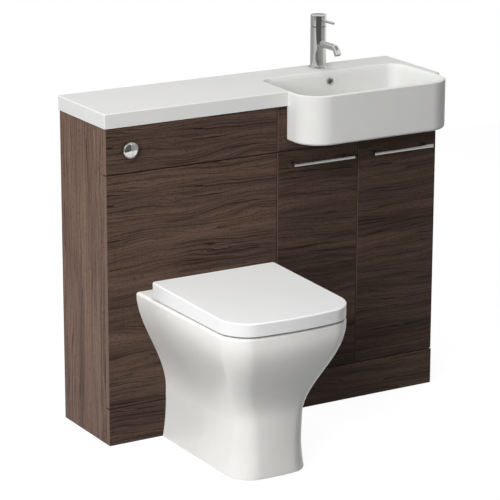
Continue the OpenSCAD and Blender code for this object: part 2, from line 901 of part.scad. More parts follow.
module spout_tube(r) {
    at_bend() {
        rotate([-90, 0, 0]) cylinder(r = r, h = bend_run);
        translate([0, 0, -spout_bend_r]) rotate([180, -90, 0])
            rotate_extrude(angle = spout_bend) translate([spout_bend_r, 0]) circle(r = r);
    }
}

lip = 12; // length of the outlet's collar

module tap_body() {
    color(chrome) difference() {
        union() {
            bar_z([tap[0], tap[1], z_deck], tap_r, tap_body_h);
            bar_z([tap[0], tap[1], z_deck - shank_l], shank_r, shank_l + over);
            spout_tube(spout_r);
            at_outlet() translate([0, 0, -over]) cylinder(r = spout_r + 0.6, h = lip + over);
        }
        bar_z([tap[0], tap[1], z_deck + tap_body_h - 25], carrier_r + fit, 25 + over);
        at_outlet() translate([0, 0, -2]) cylinder(r = spout_r - 1.5, h = lip + 2 + over);
        spout_tube(spout_r - 3);
        bar_z([tap[0], tap[1], z_deck + spout_z - 12], spout_r - 1.5, tap_body_h - spout_z);
        tails(tail_r + fit, 1);
    }
}

module tap_flange() {
    color(chrome) ring_z([tap[0], tap[1], z_deck], tap_flange_r, tap_r + fit, tap_flange_t);
}

// The spindle turns in the body and carries the pin that the head tilts on
module tap_spindle() {
    barrel = 2.5;
    lug = 4.5;
    z0 = z_deck + tap_body_h - 25 + seat_clear;
    z_pivot = z_head + head_pivot[1];
    color("silver") translate([tap[0], tap[1], 0]) {
        bar_z([0, 0, z0], carrier_r, z_head - tap_head_gap - z0);
        slab([-lug, 4, z0 + over], [lug, 10, z_pivot + barrel]);
        slab([-lug, 4, z_pivot - barrel], [lug, head_pivot[0], z_pivot + barrel]);
        bar_x([-lug, head_pivot[0], z_pivot], barrel, 2 * lug);
        bar_x([-head_pin[1], head_pivot[0], z_pivot], head_pin[0], 2 * head_pin[1]);
    }
}

module tap_head() {
    ear_x = [4.8, 8.3];
    z_pivot = z_head + head_pivot[1];
    inner_r = tap_r - tap_head_wall;
    crown = 2.5;
    color(chrome) translate([tap[0], tap[1], 0]) difference() {
        union() {
            difference() {
                union() {
                    bar_z([0, 0, z_head], tap_r, tap_head_h - crown);
                    bar_z([0, 0, z_head], tap_r - crown, tap_head_h);
                }
                bar_z([0, 0, z_head - over], inner_r, tap_head_h - 9 + over);
            }
            for (s = [-1, 1]) intersection() {
                bar_z([0, 0, z_pivot - 4], inner_r + over, z_head + tap_head_h - 8 - z_pivot + 4);
                slab([s > 0 ? ear_x[0] : -ear_x[1], 12.5, z_pivot - 4],
                    [s > 0 ? ear_x[1] : -ear_x[0], tap_r, z_head + tap_head_h]);
            }
        }
        bar_x([-ear_x[1] - over, head_pivot[0], z_pivot], head_pin[0] + fit, 2 * (ear_x[1] + over));
        bar_y([0, -tap_r - over, lever_z], lever_r + fit, tap_head_wall + 3);
    }
}

module tap_lever() {
    start = tap_r - tap_head_wall;
    color(chrome) bar_y([tap[0], tap[1] - lever_reach, lever_z], lever_r, lever_reach - start);
}

module tap_aerator() {
    color("dimgray") at_outlet() translate([0, 0, lip - 7]) difference() {
        cylinder(r = spout_r - 1.5 - fit, h = 6);
        for (a = [0:60:300]) rotate([0, 0, a]) translate([4, 0, -over]) cylinder(r = 1.2, h = 8);
    }
}

module tap_fixing() {
    washer_t = 3;
    nut_t = 10;
    grip_r = 24;
    color(rubber) ring_z([tap[0], tap[1], carcass_h - washer_t], grip_r, shank_r + fit, washer_t);
    color("gold") ring_z([tap[0], tap[1], carcass_h - washer_t - nut_t], grip_r - 2, shank_r + fit, nut_t);
}

// Places a child at the top of each tail, where it leaves the shank
module at_tails() {
    apart = 8;
    for (s = [-1, 1]) translate([tap[0] + s * apart, tap[1], z_deck - shank_l])
        rotate([0, -s * tail_splay, 0]) children();
}

module tails(r, slack = 0) {
    sunk = 8;
    at_tails() translate([0, 0, -tail_l]) cylinder(r = r, h = tail_l + sunk + slack);
}

// The two flexible tails hang from the shank, each with a nut for a supply pipe
module tap_tails() {
    nut_r = 11;
    nut_h = 26;
    inlet = 18;
    color(satin) difference() {
        union() {
            tails(tail_r);
            at_tails() translate([0, 0, -tail_l]) cylinder(r = nut_r, h = nut_h);
        }
        at_tails() translate([0, 0, -tail_l - over]) cylinder(r = supply_r, h = inlet + over);
    }
}

// ---------------------------------------------------------------- pan

// Half width and projection of the pan at height z
function pan_half(z) =
    mix(pan_waist_w / 2, pan_rim_w / 2, ease((z - flare_z) / (rim_z - flare_z)))
    + foot_spread * pow(max(0, 1 - z / (0.75 * flare_z)), 2);
function pan_out(z) =
    mix(pan_waist_out, pan_rim_out, ease((z - flare_z - 20) / (flare_front_z - flare_z - 20)))
    + foot_front * pow(max(0, 1 - z / (0.75 * flare_z)), 2);
function pan_corner(z) = let (t = 2 * z / rim_z)
    t < 1 ? mix(foot_r, waist_r, ease(t)) : mix(waist_r, rim_r, ease(t - 1));

// The sides draw in, and the front bows, more at the rim than at the foot
function pan_draw(z) = mix(0, pan_taper, ease(z / rim_z));
function pan_bulge(z) = mix(0.55, 1, ease(z / rim_z)) * pan_bow;

// One ring of the pan's outside at height z, drawn in by inset
function pan_ring(z, inset = 0, lift = 0) = ring_at(outline(
    pan_half(z) - inset, y_face - (inset > rim_edge_r ? inset : inset / 2), y_face - pan_out(z) + inset,
    3, pan_corner(z) - inset, pan_draw(z), pan_bulge(z)), z + lift);

module pan_outside() {
    z0 = rim_z - rim_edge_r;
    n = 20;
    loft(concat([for (i = [0:n]) pan_ring(z0 * i / n)],
        [for (a = [30:30:90]) pan_ring(z0, rim_edge_r * (1 - cos(a)), rim_edge_r * sin(a))]));
}

// The hollow under the pan
module pan_inside() {
    n = 11;
    loft(concat([ring_at(pan_ring(0, china_t), -over)],
        [for (i = [0:n]) pan_ring((rim_z - deck_t) * i / n, china_t)]));
}

// The bowl narrows from its mouth to the sump
function bowl_at(t, wall = 0) =
    let (s = ease(t), r = 0.88 * sump_w / 2,
        back = mix(sump_back, mouth_back, s), front = mix(sump_front, pan_rim_out - mouth_front, s))
    outline(mix(sump_w, mouth_w, s) / 2 + wall, y_face - back + wall, y_face - front - wall,
        mix(r, mouth_back_r, s) + wall, mix(r, mouth_front_r, s) + wall, mix(0, pan_taper, s));

module bowl_shape(wall = 0) {
    z0 = sump_z - wall;
    z_mouth = rim_z - 18;
    ts = [0.06, 0.2, 0.35, 0.5, 0.65, 0.8, 0.92];
    loft(concat(
        [ring_at(bowl_at(0, wall - 14), z0), ring_at(bowl_at(0, wall), z0 + 8)],
        [for (t = ts) ring_at(bowl_at(t, wall), mix(sump_z + 10, z_mouth, t))],
        [ring_at(bowl_at(1, wall), z_mouth), ring_at(bowl_at(1, wall), rim_z + (wall > 0 ? -4 : over))]));
}

// The trapway climbs from the sump to its weir and drops to the soil spigot
module trapway(r, t0, t1, n = 9) {
    start = (sump_back + sump_front) / 2 + trapway_r / 2;
    tube_along([for (i = [0:n]) let (t = mix(t0, t1, i / n))
        [0, y_face - mix(start, spigot_in, t), mix(sump_z, soil_z, t) + 4 * trapway_rise * t * (1 - t)]],
        r, 16);
}

module toilet_pan() {
    horn_r = flush_r + 4;
    plug_r = 7.5;
    color(china) translate([pan_x, 0, 0]) difference() {
        union() {
            difference() {
                pan_outside();
                pan_inside();
            }
            bowl_shape(china_t);
            bar_y([0, y_face - mouth_back - 20, flush_z], horn_r + 8, mouth_back + 20);
            bar_y([0, y_face - spigot_in - 12, soil_z], spigot_r, spigot_in + 12 + spigot_l);
            trapway(trapway_r + 9, -0.06, 1);
        }
        bowl_shape();
        trapway(trapway_r, 0, 1.04);
        bar_y([0, y_face - mouth_back - 40, flush_z], horn_r, mouth_back + 40 + over);
        bar_y([0, y_face - spigot_in, soil_z], spigot_r - 8, spigot_in + spigot_l + over);
        for (s = [-1, 1])
            bar_z([s * seat_pitch / 2, seat_y, rim_z - deck_t - over], plug_r, deck_t + 2 * over);
    }
}

// Floor brackets inside the foot
module pan_brackets() {
    leg_h = 40;
    leg_w = 34;
    t = 3;
    y0 = y_face - bracket_out;
    wall_x = pan_half(leg_h) - china_t - pan_draw(leg_h) * bracket_out / pan_out(0) - seat_clear;
    color(satin) both_sides(pan_x, wall_x) difference() {
        union() {
            slab([-t, y0, 0], [0, y0 + leg_w, leg_h]);
            slab([-40, y0, 0], [0, y0 + leg_w, t]);
        }
        bar_z([-22, y0 + leg_w / 2, -over], 4, t + 2 * over);
    }
}

// ---------------------------------------------------------------- seat and lid

module seat_hinge_posts() {
    plug_r = 7.5 - fit;
    plug_l = deck_t - 4;
    barrel = knuckle_r + 0.5;
    color(chrome) for (s = [-1, 1]) translate([pan_x + s * seat_pitch / 2, seat_y, rim_z])
        difference() {
            union() {
                cylinder(r = 18, h = 3);
                translate([0, 0, -plug_l]) cylinder(r = plug_r, h = plug_l + over);
                slab([-post_half, -barrel, 2], [post_half, barrel, seat_axis_up]);
                bar_x([-post_half, 0, seat_axis_up], barrel, 2 * post_half);
            }
            bar_x([-post_half - over, 0, seat_axis_up], seat_pin_r + fit, 2 * (post_half + over));
        }
}

// Each pin carries the seat on its inner side and the lid on its outer side
module seat_hinge_pins() {
    reach = post_half + knuckle_w + 1;
    color("silver") for (s = [-1, 1])
        bar_x([pan_x + s * seat_pitch / 2 - reach, seat_y, seat_z], seat_pin_r, 2 * reach);
}

// A knuckle on the hinge axis with a tongue that reaches forward to y1
module knuckle(x0, y1, z0, z1) {
    difference() {
        union() {
            bar_x([x0, seat_y, seat_z], knuckle_r, knuckle_w);
            slab([x0, y1, z0], [x0 + knuckle_w, seat_y, z1]);
        }
        bar_x([x0 - over, seat_y, seat_z], seat_pin_r + fit, knuckle_w + 2 * over);
    }
}

buffer_x = lid_w / 2 - buffer_in;
inner_x = seat_pitch / 2 - post_half - seat_clear - knuckle_w;
outer_x = seat_pitch / 2 + post_half + seat_clear;
seat_base = rim_z + 5;

// The seat ends ahead of the path that the lower edge of the lid's back wall swings through
seat_back = seat_axis_out + 3 + norm([lid_back + lid_wall - seat_axis_out, seat_axis_up - lid_gap]);

// Distance from the lid's outside to the seat's edge
seat_inset = lid_wall + 3;

function seat_outline(inset) = outline(
    lid_w / 2 - seat_inset - inset, y_face - seat_back - inset * 1.1, y_face - lid_out + seat_inset + inset,
    max(14, 24 - inset), lid_r - 4 + inset / 3, pan_taper, pan_bow);

module toilet_seat() {
    z1 = seat_base + seat_t;
    r = 3;
    color(plastic) translate([pan_x, 0, 0]) {
        difference() {
            loft([ring_at(seat_outline(0), seat_base), ring_at(seat_outline(0), z1 - r),
                ring_at(seat_outline(r * 0.3), z1 - r * 0.3), ring_at(seat_outline(r), z1)]);
            translate([0, 0, seat_base - over]) linear_extrude(height = seat_t + 2 * over)
                polygon(seat_outline(seat_ring));
        }
        for (x = [inner_x, -inner_x - knuckle_w])
            knuckle(x, y_face - seat_back - 12, seat_z - knuckle_r, z1);
    }
}

module seat_buffers() {
    size = [16, 30];
    color(rubber) for (s = [-1, 1], out = [seat_back + 2 * size[1], lid_out - 3 * size[1]])
        slab([pan_x + s * buffer_x - size[0] / 2, y_face - out - size[1] / 2, rim_z + seat_clear],
            [pan_x + s * buffer_x + size[0] / 2, y_face - out + size[1] / 2, seat_base]);
}

// The lid's top slopes down from its back to its front
function lid_top(y) =
    mix(lid_z + lid_back_h, lid_z + lid_front_h, (y_face - lid_back - y) / (lid_out - lid_back));
function lid_outline(inset) = outline(
    lid_w / 2 - inset, y_face - lid_back - inset, y_face - lid_out + inset,
    max(3, 10 - inset), lid_r - inset, pan_taper, pan_bow);
function lid_ring(inset, drop) = [for (p = lid_outline(inset)) [p[0], p[1], lid_top(p[1]) - drop]];

module toilet_lid() {
    r = lid_edge_r;
    slot = [inner_x - 3, outer_x + knuckle_w];
    color(plastic) translate([pan_x, 0, 0]) {
        difference() {
            loft([ring_at(lid_outline(0), lid_z), lid_ring(0, r),
                lid_ring(r * 0.3, r * 0.3), lid_ring(r, 0)]);
            loft([ring_at(lid_outline(lid_wall), lid_z - over), lid_ring(lid_wall, lid_wall)]);
            for (s = [-1, 1])
                slab([s > 0 ? slot[0] : -slot[1], y_face - lid_back - lid_wall - over, lid_z - over],
                    [s > 0 ? slot[1] : -slot[0], y_face - lid_back + over, seat_z + knuckle_r + 1]);
        }
        for (x = [outer_x, -outer_x - knuckle_w]) {
            knuckle(x, y_face - lid_back - lid_wall, seat_z - 4, seat_z + knuckle_r);
            slab([x, y_face - lid_back - lid_wall - 6, seat_z - 4],
                [x + knuckle_w, y_face - lid_back - lid_wall + over, lid_z + lid_back_h - lid_wall + 1]);
        }
    }
}

module lid_buffers() {
    size = [14, 20];
    out = lid_out - 6 * size[1];
    y = [y_face - out - size[1] / 2, y_face - out + size[1] / 2];
    z = [seat_base + seat_t + seat_clear, lid_top(y[0]) - lid_wall];
    color(rubber) for (s = [-1, 1]) slab([pan_x + s * buffer_x - size[0] / 2, y[0], z[0]],
        [pan_x + s * buffer_x + size[0] / 2, y[1], z[1]]);
}

// ---------------------------------------------------------------- cistern

module cistern_tank() {
    w = cistern_wall;
    lo = [pan_x - cistern_w / 2, y_tank, cistern_z];
    hi = [pan_x + cistern_w / 2, -board_t, cistern_z + cistern_h];
    color(plastic) difference() {
        slab(lo, hi);
        slab(lo + [w, w, w], hi + [-w, -w, over]);
        bar_z([pan_x, tank_mid_y, cistern_z - over], flush_r + 6, w + 2 * over);
        bar_z([fill_x, tank_mid_y, cistern_z - over], 10 + loose / 2, w + 2 * over);
    }
}

module cistern_lid() {
    lip = 6;
    t = 5;
    z1 = cistern_z + cistern_h;
    lo = [pan_x - cistern_w / 2 - 3, y_tank - 3, z1];
    hi = [pan_x + cistern_w / 2 + 3, -board_t, z1 + t];
    color(plastic) difference() {
        slab(lo - [0, 0, lip], hi);
        slab([lo[0] + 3 - fit, lo[1] + 3 - fit, z1 - lip - over], [hi[0] - 3 + fit, hi[1] + over, z1]);
        for (s = [-1, 1]) bar_z(air_hole(s) - [0, 0, 2 * t], air_r + seat_clear, 4 * t);
    }
}

riser_seat = cistern_z + cistern_wall + 6;
z_valve = cistern_z + cistern_wall;

// The flush valve's body: a tube with side windows, a seat, a cap and a threaded outlet
module flush_valve() {
    wall = 3;
    cap = 6;
    outlet = 26;
    color(plastic) translate([pan_x, tank_mid_y, z_valve]) difference() {
        union() {
            cylinder(r = valve_r, h = valve_h);
            translate([0, 0, -outlet]) cylinder(r = flush_r + 5.5, h = outlet + over);
            translate([0, 0, -cistern_wall - 10]) cylinder(r = valve_r, h = 10);
        }
        translate([0, 0, 6]) cylinder(r = valve_r - wall, h = valve_h - 6 - cap);
        translate([0, 0, -outlet - over]) cylinder(r = flush_r - 2, h = outlet + 8 + over);
        translate([0, 0, -outlet - over]) cylinder(r = flush_r + fit, h = 13 + over);
        translate([0, 0, valve_h - cap - over]) cylinder(r = 8 + fit, h = cap + 2 * over);
        for (a = [0, 90]) rotate([0, 0, a]) slab([-valve_r - over, -12, 14], [valve_r + over, 12, 70]);
        ring_z([0, 0, -cistern_wall], valve_r + over, flush_r + 5.5, cistern_wall);
    }
}

// The riser lifts off its seat to flush
module flush_riser() {
    color("silver") translate([pan_x, tank_mid_y, riser_seat]) {
        translate([0, 0, seat_clear]) cylinder(r = flush_r + 8, h = 6);
        translate([0, 0, seat_clear]) cylinder(r = 8, h = valve_h + 12);
    }
}

z_float = cistern_z + cistern_h - 90;

module fill_valve() {
    color(plastic) translate([fill_x, tank_mid_y, 0]) {
        difference() {
            union() {
                bar_z([0, 0, z_valve], 14, cistern_h - 60);
                bar_z([0, 0, z_valve - 45], 10, 46);
                bar_z([0, 0, cistern_z - 8], 16, 8);
                for (y = [-8, 4]) slab([8, y, z_float - 6], [22, y + 4, z_float + 6]);
            }
            bar_z([0, 0, z_valve - 46], 6, 40);
            bar_y([18, -9, z_float], 2 + fit, 18);
        }
    }
}

// The float hangs at the bottom of its travel, as in an empty cistern
module fill_float() {
    tilt = 25;
    color("lightgray") translate([fill_x + 18, tank_mid_y, z_float]) rotate([0, tilt, 0]) {
        bar_y([0, -8, 0], 2, 16);
        slab([0, -2.5, -2.5], [64, 2.5, 2.5]);
        slab([34, -24, -34], [68, 24, -2]);
    }
}

module flush_pipe() {
    r = flush_r;
    z_top = z_valve - 14;
    z_bend = flush_z + flush_bend_r;
    y_bend = tank_mid_y - flush_bend_r;
    y_end = y_face - 28;
    color(plastic) translate([pan_x, 0, 0]) difference() {
        union() {
            bar_z([0, tank_mid_y, z_bend], r, z_top - z_bend);
            translate([0, y_bend, z_bend]) rotate([90, 0, 90]) rotate([0, 0, -90])
                rotate_extrude(angle = 90) translate([flush_bend_r, 0]) circle(r = r);
            bar_y([0, y_end, flush_z], r, y_bend - y_end);
        }
        bar_z([0, tank_mid_y, z_bend], r - 2, z_top - z_bend + over);
        bar_y([0, y_end - over, flush_z], r - 2, y_bend - y_end + over);
    }
}

module flush_cone() {
    color(rubber) translate([pan_x, y_face, flush_z]) rotate([-90, 0, 0]) difference() {
        union() {
            translate([0, 0, -26]) cylinder(r = flush_r + 4 - fit, h = 27);
            cylinder(r = flush_r + 8, h = 5);
        }
        translate([0, 0, -27]) cylinder(r = flush_r + fit, h = 40);
    }
}

module pan_connector() {
    y0 = y_face + 20;
    collar = 40;
    color(plastic) translate([pan_x, 0, soil_z]) difference() {
        union() {
            bar_y([0, y0, 0], soil_r + 3, collar);
            bar_y([0, y0 + collar, 0], soil_r, -y0 - collar);
        }
        bar_y([0, y0 - over, 0], spigot_r + seat_clear, 2 * over - y0);
    }
}

// ---------------------------------------------------------------- flush button

module button_bezel() {
    nut_t = 6;
    color(chrome) translate(button) rotate([-90, 0, 0]) difference() {
        union() {
            translate([0, 0, -bezel_out]) cylinder(r = bezel_r, h = bezel_out);
            cylinder(r = barrel_r, h = barrel_l);
            translate([0, 0, board_t]) cylinder(r = barrel_r + 5, h = nut_t);
        }
        translate([0, 0, -bezel_out - over]) cylinder(r = bezel_r - bezel_wall, h = bezel_out + 8 + over);
        translate([0, 0, 8]) cylinder(r = barrel_r - 3, h = barrel_l - 8 - 6);
        for (s = [-1, 1]) translate([s * 7, 0, 0]) cylinder(r = air_r + fit, h = barrel_l + over);
    }
}

// The two halves of the button part along an upright line a little off centre
button_split = 3;
button_r = bezel_r - bezel_wall - 0.25;
button_out = bezel_out + 2;

module button_half(x0, x1, stem_x) {
    color(chrome) translate(button) {
        intersection() {
            bar_y([0, -button_out, 0], button_r, button_out - 1);
            slab([x0, -button_out - over, -button_r], [x1, 0, button_r]);
        }
        bar_y([stem_x, -2, 0], air_r + 1, 10);
    }
}

module full_button() {
    button_half(-button_r, button_split, -7);
}

module half_button() {
    button_half(button_split + 0.4, button_r, 9);
}

// Air tubes run from the barrel through the cistern's lid to the flush valve
function air_hole(s) = [pan_x - 60 + s * 8, tank_mid_y, cistern_z + cistern_h + 3];

module air_tubes() {
    color(satin) for (s = [-1, 1]) {
        start = button + [s * 7, barrel_l - 4, 0];
        hole = air_hole(s);
        end = [pan_x - 22, tank_mid_y + s * 8, z_valve + valve_h];
        // The tube is straight where it passes the barrel's end, the lid and the valve's cap
        tube_along(concat([start],
            easy_path(start + [0, 7, 0], [0, 50, 0], hole + [0, 0, 5], [0, 0, -50]),
            easy_path(hole - [0, 0, 10], [0, 0, -30], end + [0, 0, 3], [0, 0, -30], 8), [end]), air_r);
    }
}

// ---------------------------------------------------------------- nodes

wc_left_side();
wc_right_side();
vanity_left_side();
vanity_right_side();
carcass_rails();
fixing_blocks();
wc_fascia();
wc_access_panel();
plinths();
vanity_base();
vanity_shelf();
shelf_pins();
vanity_fascia();
left_door();
right_door();
left_handle();
right_handle();
left_handle_screws();
right_handle_screws();
hinge_arms();
left_hinge_cups();
right_hinge_cups();
door_bumpers();
basin_top();
overflow_ring();
waste_flange();
waste_nut();
waste_plug();
bottle_trap();
trap_cup();
waste_pipe();
tap_body();
tap_flange();
tap_spindle();
tap_head();
tap_lever();
tap_aerator();
tap_fixing();
tap_tails();
toilet_pan();
pan_brackets();
seat_hinge_posts();
seat_hinge_pins();
toilet_seat();
seat_buffers();
toilet_lid();
lid_buffers();
cistern_tank();
cistern_lid();
flush_valve();
flush_riser();
fill_valve();
fill_float();
flush_pipe();
flush_cone();
pan_connector();
button_bezel();
full_button();
half_button();
air_tubes();
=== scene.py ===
import json
import math

import bmesh
import bpy
from bpy.props import FloatProperty, FloatVectorProperty, PointerProperty
from mathutils import Matrix, Vector


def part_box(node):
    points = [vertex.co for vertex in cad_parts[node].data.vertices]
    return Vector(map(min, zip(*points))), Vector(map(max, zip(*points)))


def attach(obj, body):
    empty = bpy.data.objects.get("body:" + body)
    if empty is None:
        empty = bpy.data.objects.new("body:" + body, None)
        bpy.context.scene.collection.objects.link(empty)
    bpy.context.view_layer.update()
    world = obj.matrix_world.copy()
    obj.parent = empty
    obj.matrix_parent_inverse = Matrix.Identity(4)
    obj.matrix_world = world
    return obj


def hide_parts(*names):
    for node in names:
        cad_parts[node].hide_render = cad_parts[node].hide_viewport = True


bl_info = {
    "name": "Toilet and basin unit",
    "version": (1, 0, 0),
    "blender": (4, 5, 0),
    "location": "3D View > Sidebar > Bathroom",
    "description": "Dresses a toilet and basin combination unit in its real shapes and finishes",
    "category": "Object",
}

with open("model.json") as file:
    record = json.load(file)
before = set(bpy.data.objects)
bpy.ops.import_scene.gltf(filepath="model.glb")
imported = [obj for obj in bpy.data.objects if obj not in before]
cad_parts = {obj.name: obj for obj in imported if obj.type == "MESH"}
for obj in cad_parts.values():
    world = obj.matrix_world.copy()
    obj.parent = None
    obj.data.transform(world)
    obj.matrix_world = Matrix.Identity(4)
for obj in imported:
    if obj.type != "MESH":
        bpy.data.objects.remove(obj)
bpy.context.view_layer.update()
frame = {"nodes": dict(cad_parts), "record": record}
NODES = frame["nodes"]
BODY_OF = {n: body for body, nodes in frame["record"]["behaviour"]["bodies"].items() for n in nodes}


def corners(node):
    """The lowest and highest corner of a CAD node, in millimetres"""
    return [[round(v * 1000, 3) for v in corner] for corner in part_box(node)]


def middle(node):
    """The middle of a CAD node, in millimetres"""
    return tuple((a + b) / 2 for a, b in zip(*corners(node)))


# Places that the pieces are built from, in millimetres in the frame of the CAD model
TOP_LO, TOP_HI = corners("basin_top")
DECK_Z = TOP_HI[2]
FACE_Y = corners("left_door")[0][1]
TAP_AT = middle("tap_flange")[:2]
WASTE_AT = (TAP_AT[0], middle("waste_plug")[1])
PAN_X = middle("toilet_pan")[0]
HINGE_Y, HINGE_Z = middle("seat_hinge_pins")[1:]
FLUSH_Z, SOIL_Z = middle("flush_cone")[2], middle("pan_connector")[2]
BUTTON_AT = (middle("button_bezel")[0], FACE_Y, middle("button_bezel")[2])

# Sizes that several pieces share, in millimetres
BOWL_T, BOWL_BACK = 16, -94     # thickness under the basin's bowl, and its mouth's back edge
BOWL_LIP = 12                   # from the deck down to where the bowl's sides begin
BOWL_IN_LOW, BOWL_IN_HIGH = 8, 3    # how far the sides lean in at their foot and at their top
FRONT_BOW, SIDE_TAPER = 18.5, 3.5   # how the pan, seat and lid bow out in front and draw in
PIN_HOLE_R = 4.05               # the holes for the seat's hinge pins
OVER = 1                        # how far a cutting solid goes past the face that it cuts


def linear(code):
    """Turns an sRGB hex colour into linear light"""
    parts = [int(code[i:i + 2], 16) / 255 for i in (1, 3, 5)]
    return [p / 12.92 if p <= 0.04045 else ((p + 0.055) / 1.055) ** 2.4 for p in parts]


# ---------------------------------------------------------------- settings in the panel

def length(label, mm, note):
    """A size in the panel, given here in millimetres"""
    return FloatProperty(name=label, description=note, default=mm / 1000, min=0.0, precision=4,
                         unit="LENGTH", subtype="DISTANCE")


def colour(label, code, note):
    """A colour in the panel, given here as sRGB hex"""
    return FloatVectorProperty(name=label, description=note, default=linear(code), size=3,
                               min=0.0, max=1.0, subtype="COLOR")


def share(label, value, note):
    """A share from 0 to 1 in the panel"""
    return FloatProperty(name=label, description=note, default=value, min=0.0, max=1.0,
                         subtype="FACTOR")


def lamp(label, watts, note):
    """A lamp's power in the panel, in watts"""
    return FloatProperty(name=label, description=note, default=watts, min=0.0, unit="POWER")


class CabinetSettings(bpy.types.PropertyGroup):
    board_edge: length("Board edge", 0.7, "Radius of the edging strip along each board")
    streak: length("Streak spacing", 12.5, "Usual distance between two dark growth lines")
    band: length("Band spacing", 62, "Usual distance between a light and a dark band")
    ring: length("Ring spacing", 9, "Usual distance between two growth rings")
    wave: length("Wave height", 52, "How far the growth lines wander across the grain")
    wave_length: length("Wave length", 330, "Distance along the grain between two waves")
    dark: colour("Dark line", "#281f18", "Colour of the darkest growth lines")
    middle: colour("Middle brown", "#4c3c35", "Colour of most of the foil")
    light: colour("Light band", "#69554a", "Colour of the lightest bands")
    strip: colour("Edging", "#6e5c51", "Colour of the edging strip on the upright edges")


class TopSettings(bpy.types.PropertyGroup):
    edge: length("Top edge", 2.5, "Radius along the top's upper edge")
    rim: length("Rim", 4.5, "Radius where the rim turns into the bowl")
    lower_edge: length("Basin edge", 7, "Radius along the basin's lower edge")
    corner: length("Basin corner", 74, "Radius of the basin's front corners")
    floor: length("Bowl floor", 30, "Radius where the bowl's sides turn into its floor")
    gel_coat: colour("Gel coat", "#d9d9d7", "Colour of the cast top")


class TapSettings(bpy.types.PropertyGroup):
    body_r: length("Body radius", 21.5, "Radius of the tap's body and head")
    spout_r: length("Spout radius", 9, "Radius of the spout")
    spout_reach: length("Spout reach", 93, "Distance from the body's axis to the outlet")
    bend_r: length("Spout bend", 14, "Bend radius of the spout")
    lever_r: length("Lever radius", 3.75, "Radius of the pin lever")
    lever_reach: length("Lever reach", 77, "Distance from the body's axis to the lever's tip")
    crown: length("Crown", 2.6, "Height of the dome on the head")
    chrome: colour("Chrome", "#d2d2d0", "Colour of polished chrome plate")


class DoorSettings(bpy.types.PropertyGroup):
    bar_r: length("Handle radius", 5, "Radius of the handle's bar")
    post_r: length("Post radius", 4, "Radius of the handle's posts")
    nickel: colour("Satin nickel", "#a9a8a5", "Colour of satin nickel plate")


class PanSettings(bpy.types.PropertyGroup):
    rim_w: length("Rim width", 364, "Width of the pan at its rim")
    waist_w: length("Waist width", 196, "Width of the pan's foot at its waist")
    rim_out: length("Rim projection", 473, "Distance from the panel to the rim's front corners")
    waist_out: length("Waist projection", 387, "Distance from the panel to the waist's front corners")
    rim_z: length("Rim height", 404, "Height of the rim")
    rim_edge: length("Rim edge", 8, "Radius of the rim's outer edge")
    mouth_edge: length("Mouth edge", 6, "Radius where the rim turns into the bowl")
    glaze: colour("Glaze", "#f1f0ed", "Colour of the glazed china")


class SeatSettings(bpy.types.PropertyGroup):
    width: length("Lid width", 360, "Width of the lid")
    corner: length("Lid corner", 67, "Radius of the lid's front corners")
    edge: length("Lid edge", 3.5, "Radius of the lid's upper edge")
    ring: length("Ring width", 58, "Width of the seat")
    plastic: colour("Seat plastic", "#ededed", "Colour of the seat and lid")


class ButtonSettings(bpy.types.PropertyGroup):
    bezel_r: length("Bezel radius", 22.5, "Radius of the button's bezel")
    bezel_out: length("Bezel projection", 12, "How far the bezel stands out")
    button_r: length("Button radius", 18.75, "Radius of the button inside the bezel")


class StageSettings(bpy.types.PropertyGroup):
    floor: colour("Floor", "#484848", "Colour of the floor as it lights the unit from below")
    ambient: share("Ambient", 0.05, "Strength of the even light from all round")
    key: lamp("Key lamp", 212, "Power of the large soft lamp at the upper left")
    low: lamp("Low lamp", 64, "Power of the large soft lamp low at the left")
    overhead: lamp("Overhead lamp", 124, "Power of the large soft lamp overhead")
    fill: lamp("Fill lamp", 17, "Power of the large soft lamp at the right")
    back: lamp("Back lamp", 95, "Power of the large soft lamp behind the unit")


class UnitSettings(bpy.types.PropertyGroup):
    cabinet: PointerProperty(type=CabinetSettings)
    top: PointerProperty(type=TopSettings)
    tap: PointerProperty(type=TapSettings)
    door: PointerProperty(type=DoorSettings)
    pan: PointerProperty(type=PanSettings)
    seat: PointerProperty(type=SeatSettings)
    button: PointerProperty(type=ButtonSettings)
    stage: PointerProperty(type=StageSettings)


# ---------------------------------------------------------------- outlines, in millimetres

def ease(t):
    """Eases a share from 0 to 1 in and out"""
    t = min(1.0, max(0.0, t))
    return t * t * (3 - 2 * t)


def mix(a, b, t):
    """Goes from one value to another by a share"""
    return a + (b - a) * t


def quarter(steps, first=0):
    """Angles from 0 to a quarter turn in equal steps"""
    return [math.pi / 2 * i / steps for i in range(first, steps + 1)]


def turn(cx, cy, r, start, steps):
    """A quarter circle that starts at an angle in degrees"""
    return [(cx + r * math.cos(a), cy + r * math.sin(a))
            for a in [math.radians(start) + b for b in quarter(steps)]]


def outline(half, back, front, back_r, front_r, taper=0.0, bow=0.0, steps=14):
    """A rounded plan outline about x = 0, with sides that draw in and a front that bows out"""
    parts = 8
    flat = [(k * (half - front_r) / parts, front) for k in range(1 - parts, parts)]
    points = (turn(half - back_r, back - back_r, back_r, 0, steps)
              + turn(back_r - half, back - back_r, back_r, 90, steps)
              + turn(front_r - half, front + front_r, front_r, 180, steps) + flat
              + turn(half - front_r, front + front_r, front_r, 270, steps))
    shaped = []
    for x, y in points:
        t = (back - y) / (back - front)
        shaped.append((x * (1 - taper * t / half), y - bow * t ** 4 * (1 - (x / half) ** 2)))
    return shaped


def at_height(points, z, x=0.0):
    """Sets a plan outline at a height, and moves it along the unit"""
    return [(px + x, py, z) for px, py in points]


def rounding(r, steps=5):
    """Pairs of inset and drop that round an outer edge of radius r, from its side to its top"""
    return [(r * (1 - math.cos(a)), r * (1 - math.sin(a))) for a in quarter(steps)]


# ---------------------------------------------------------------- solids

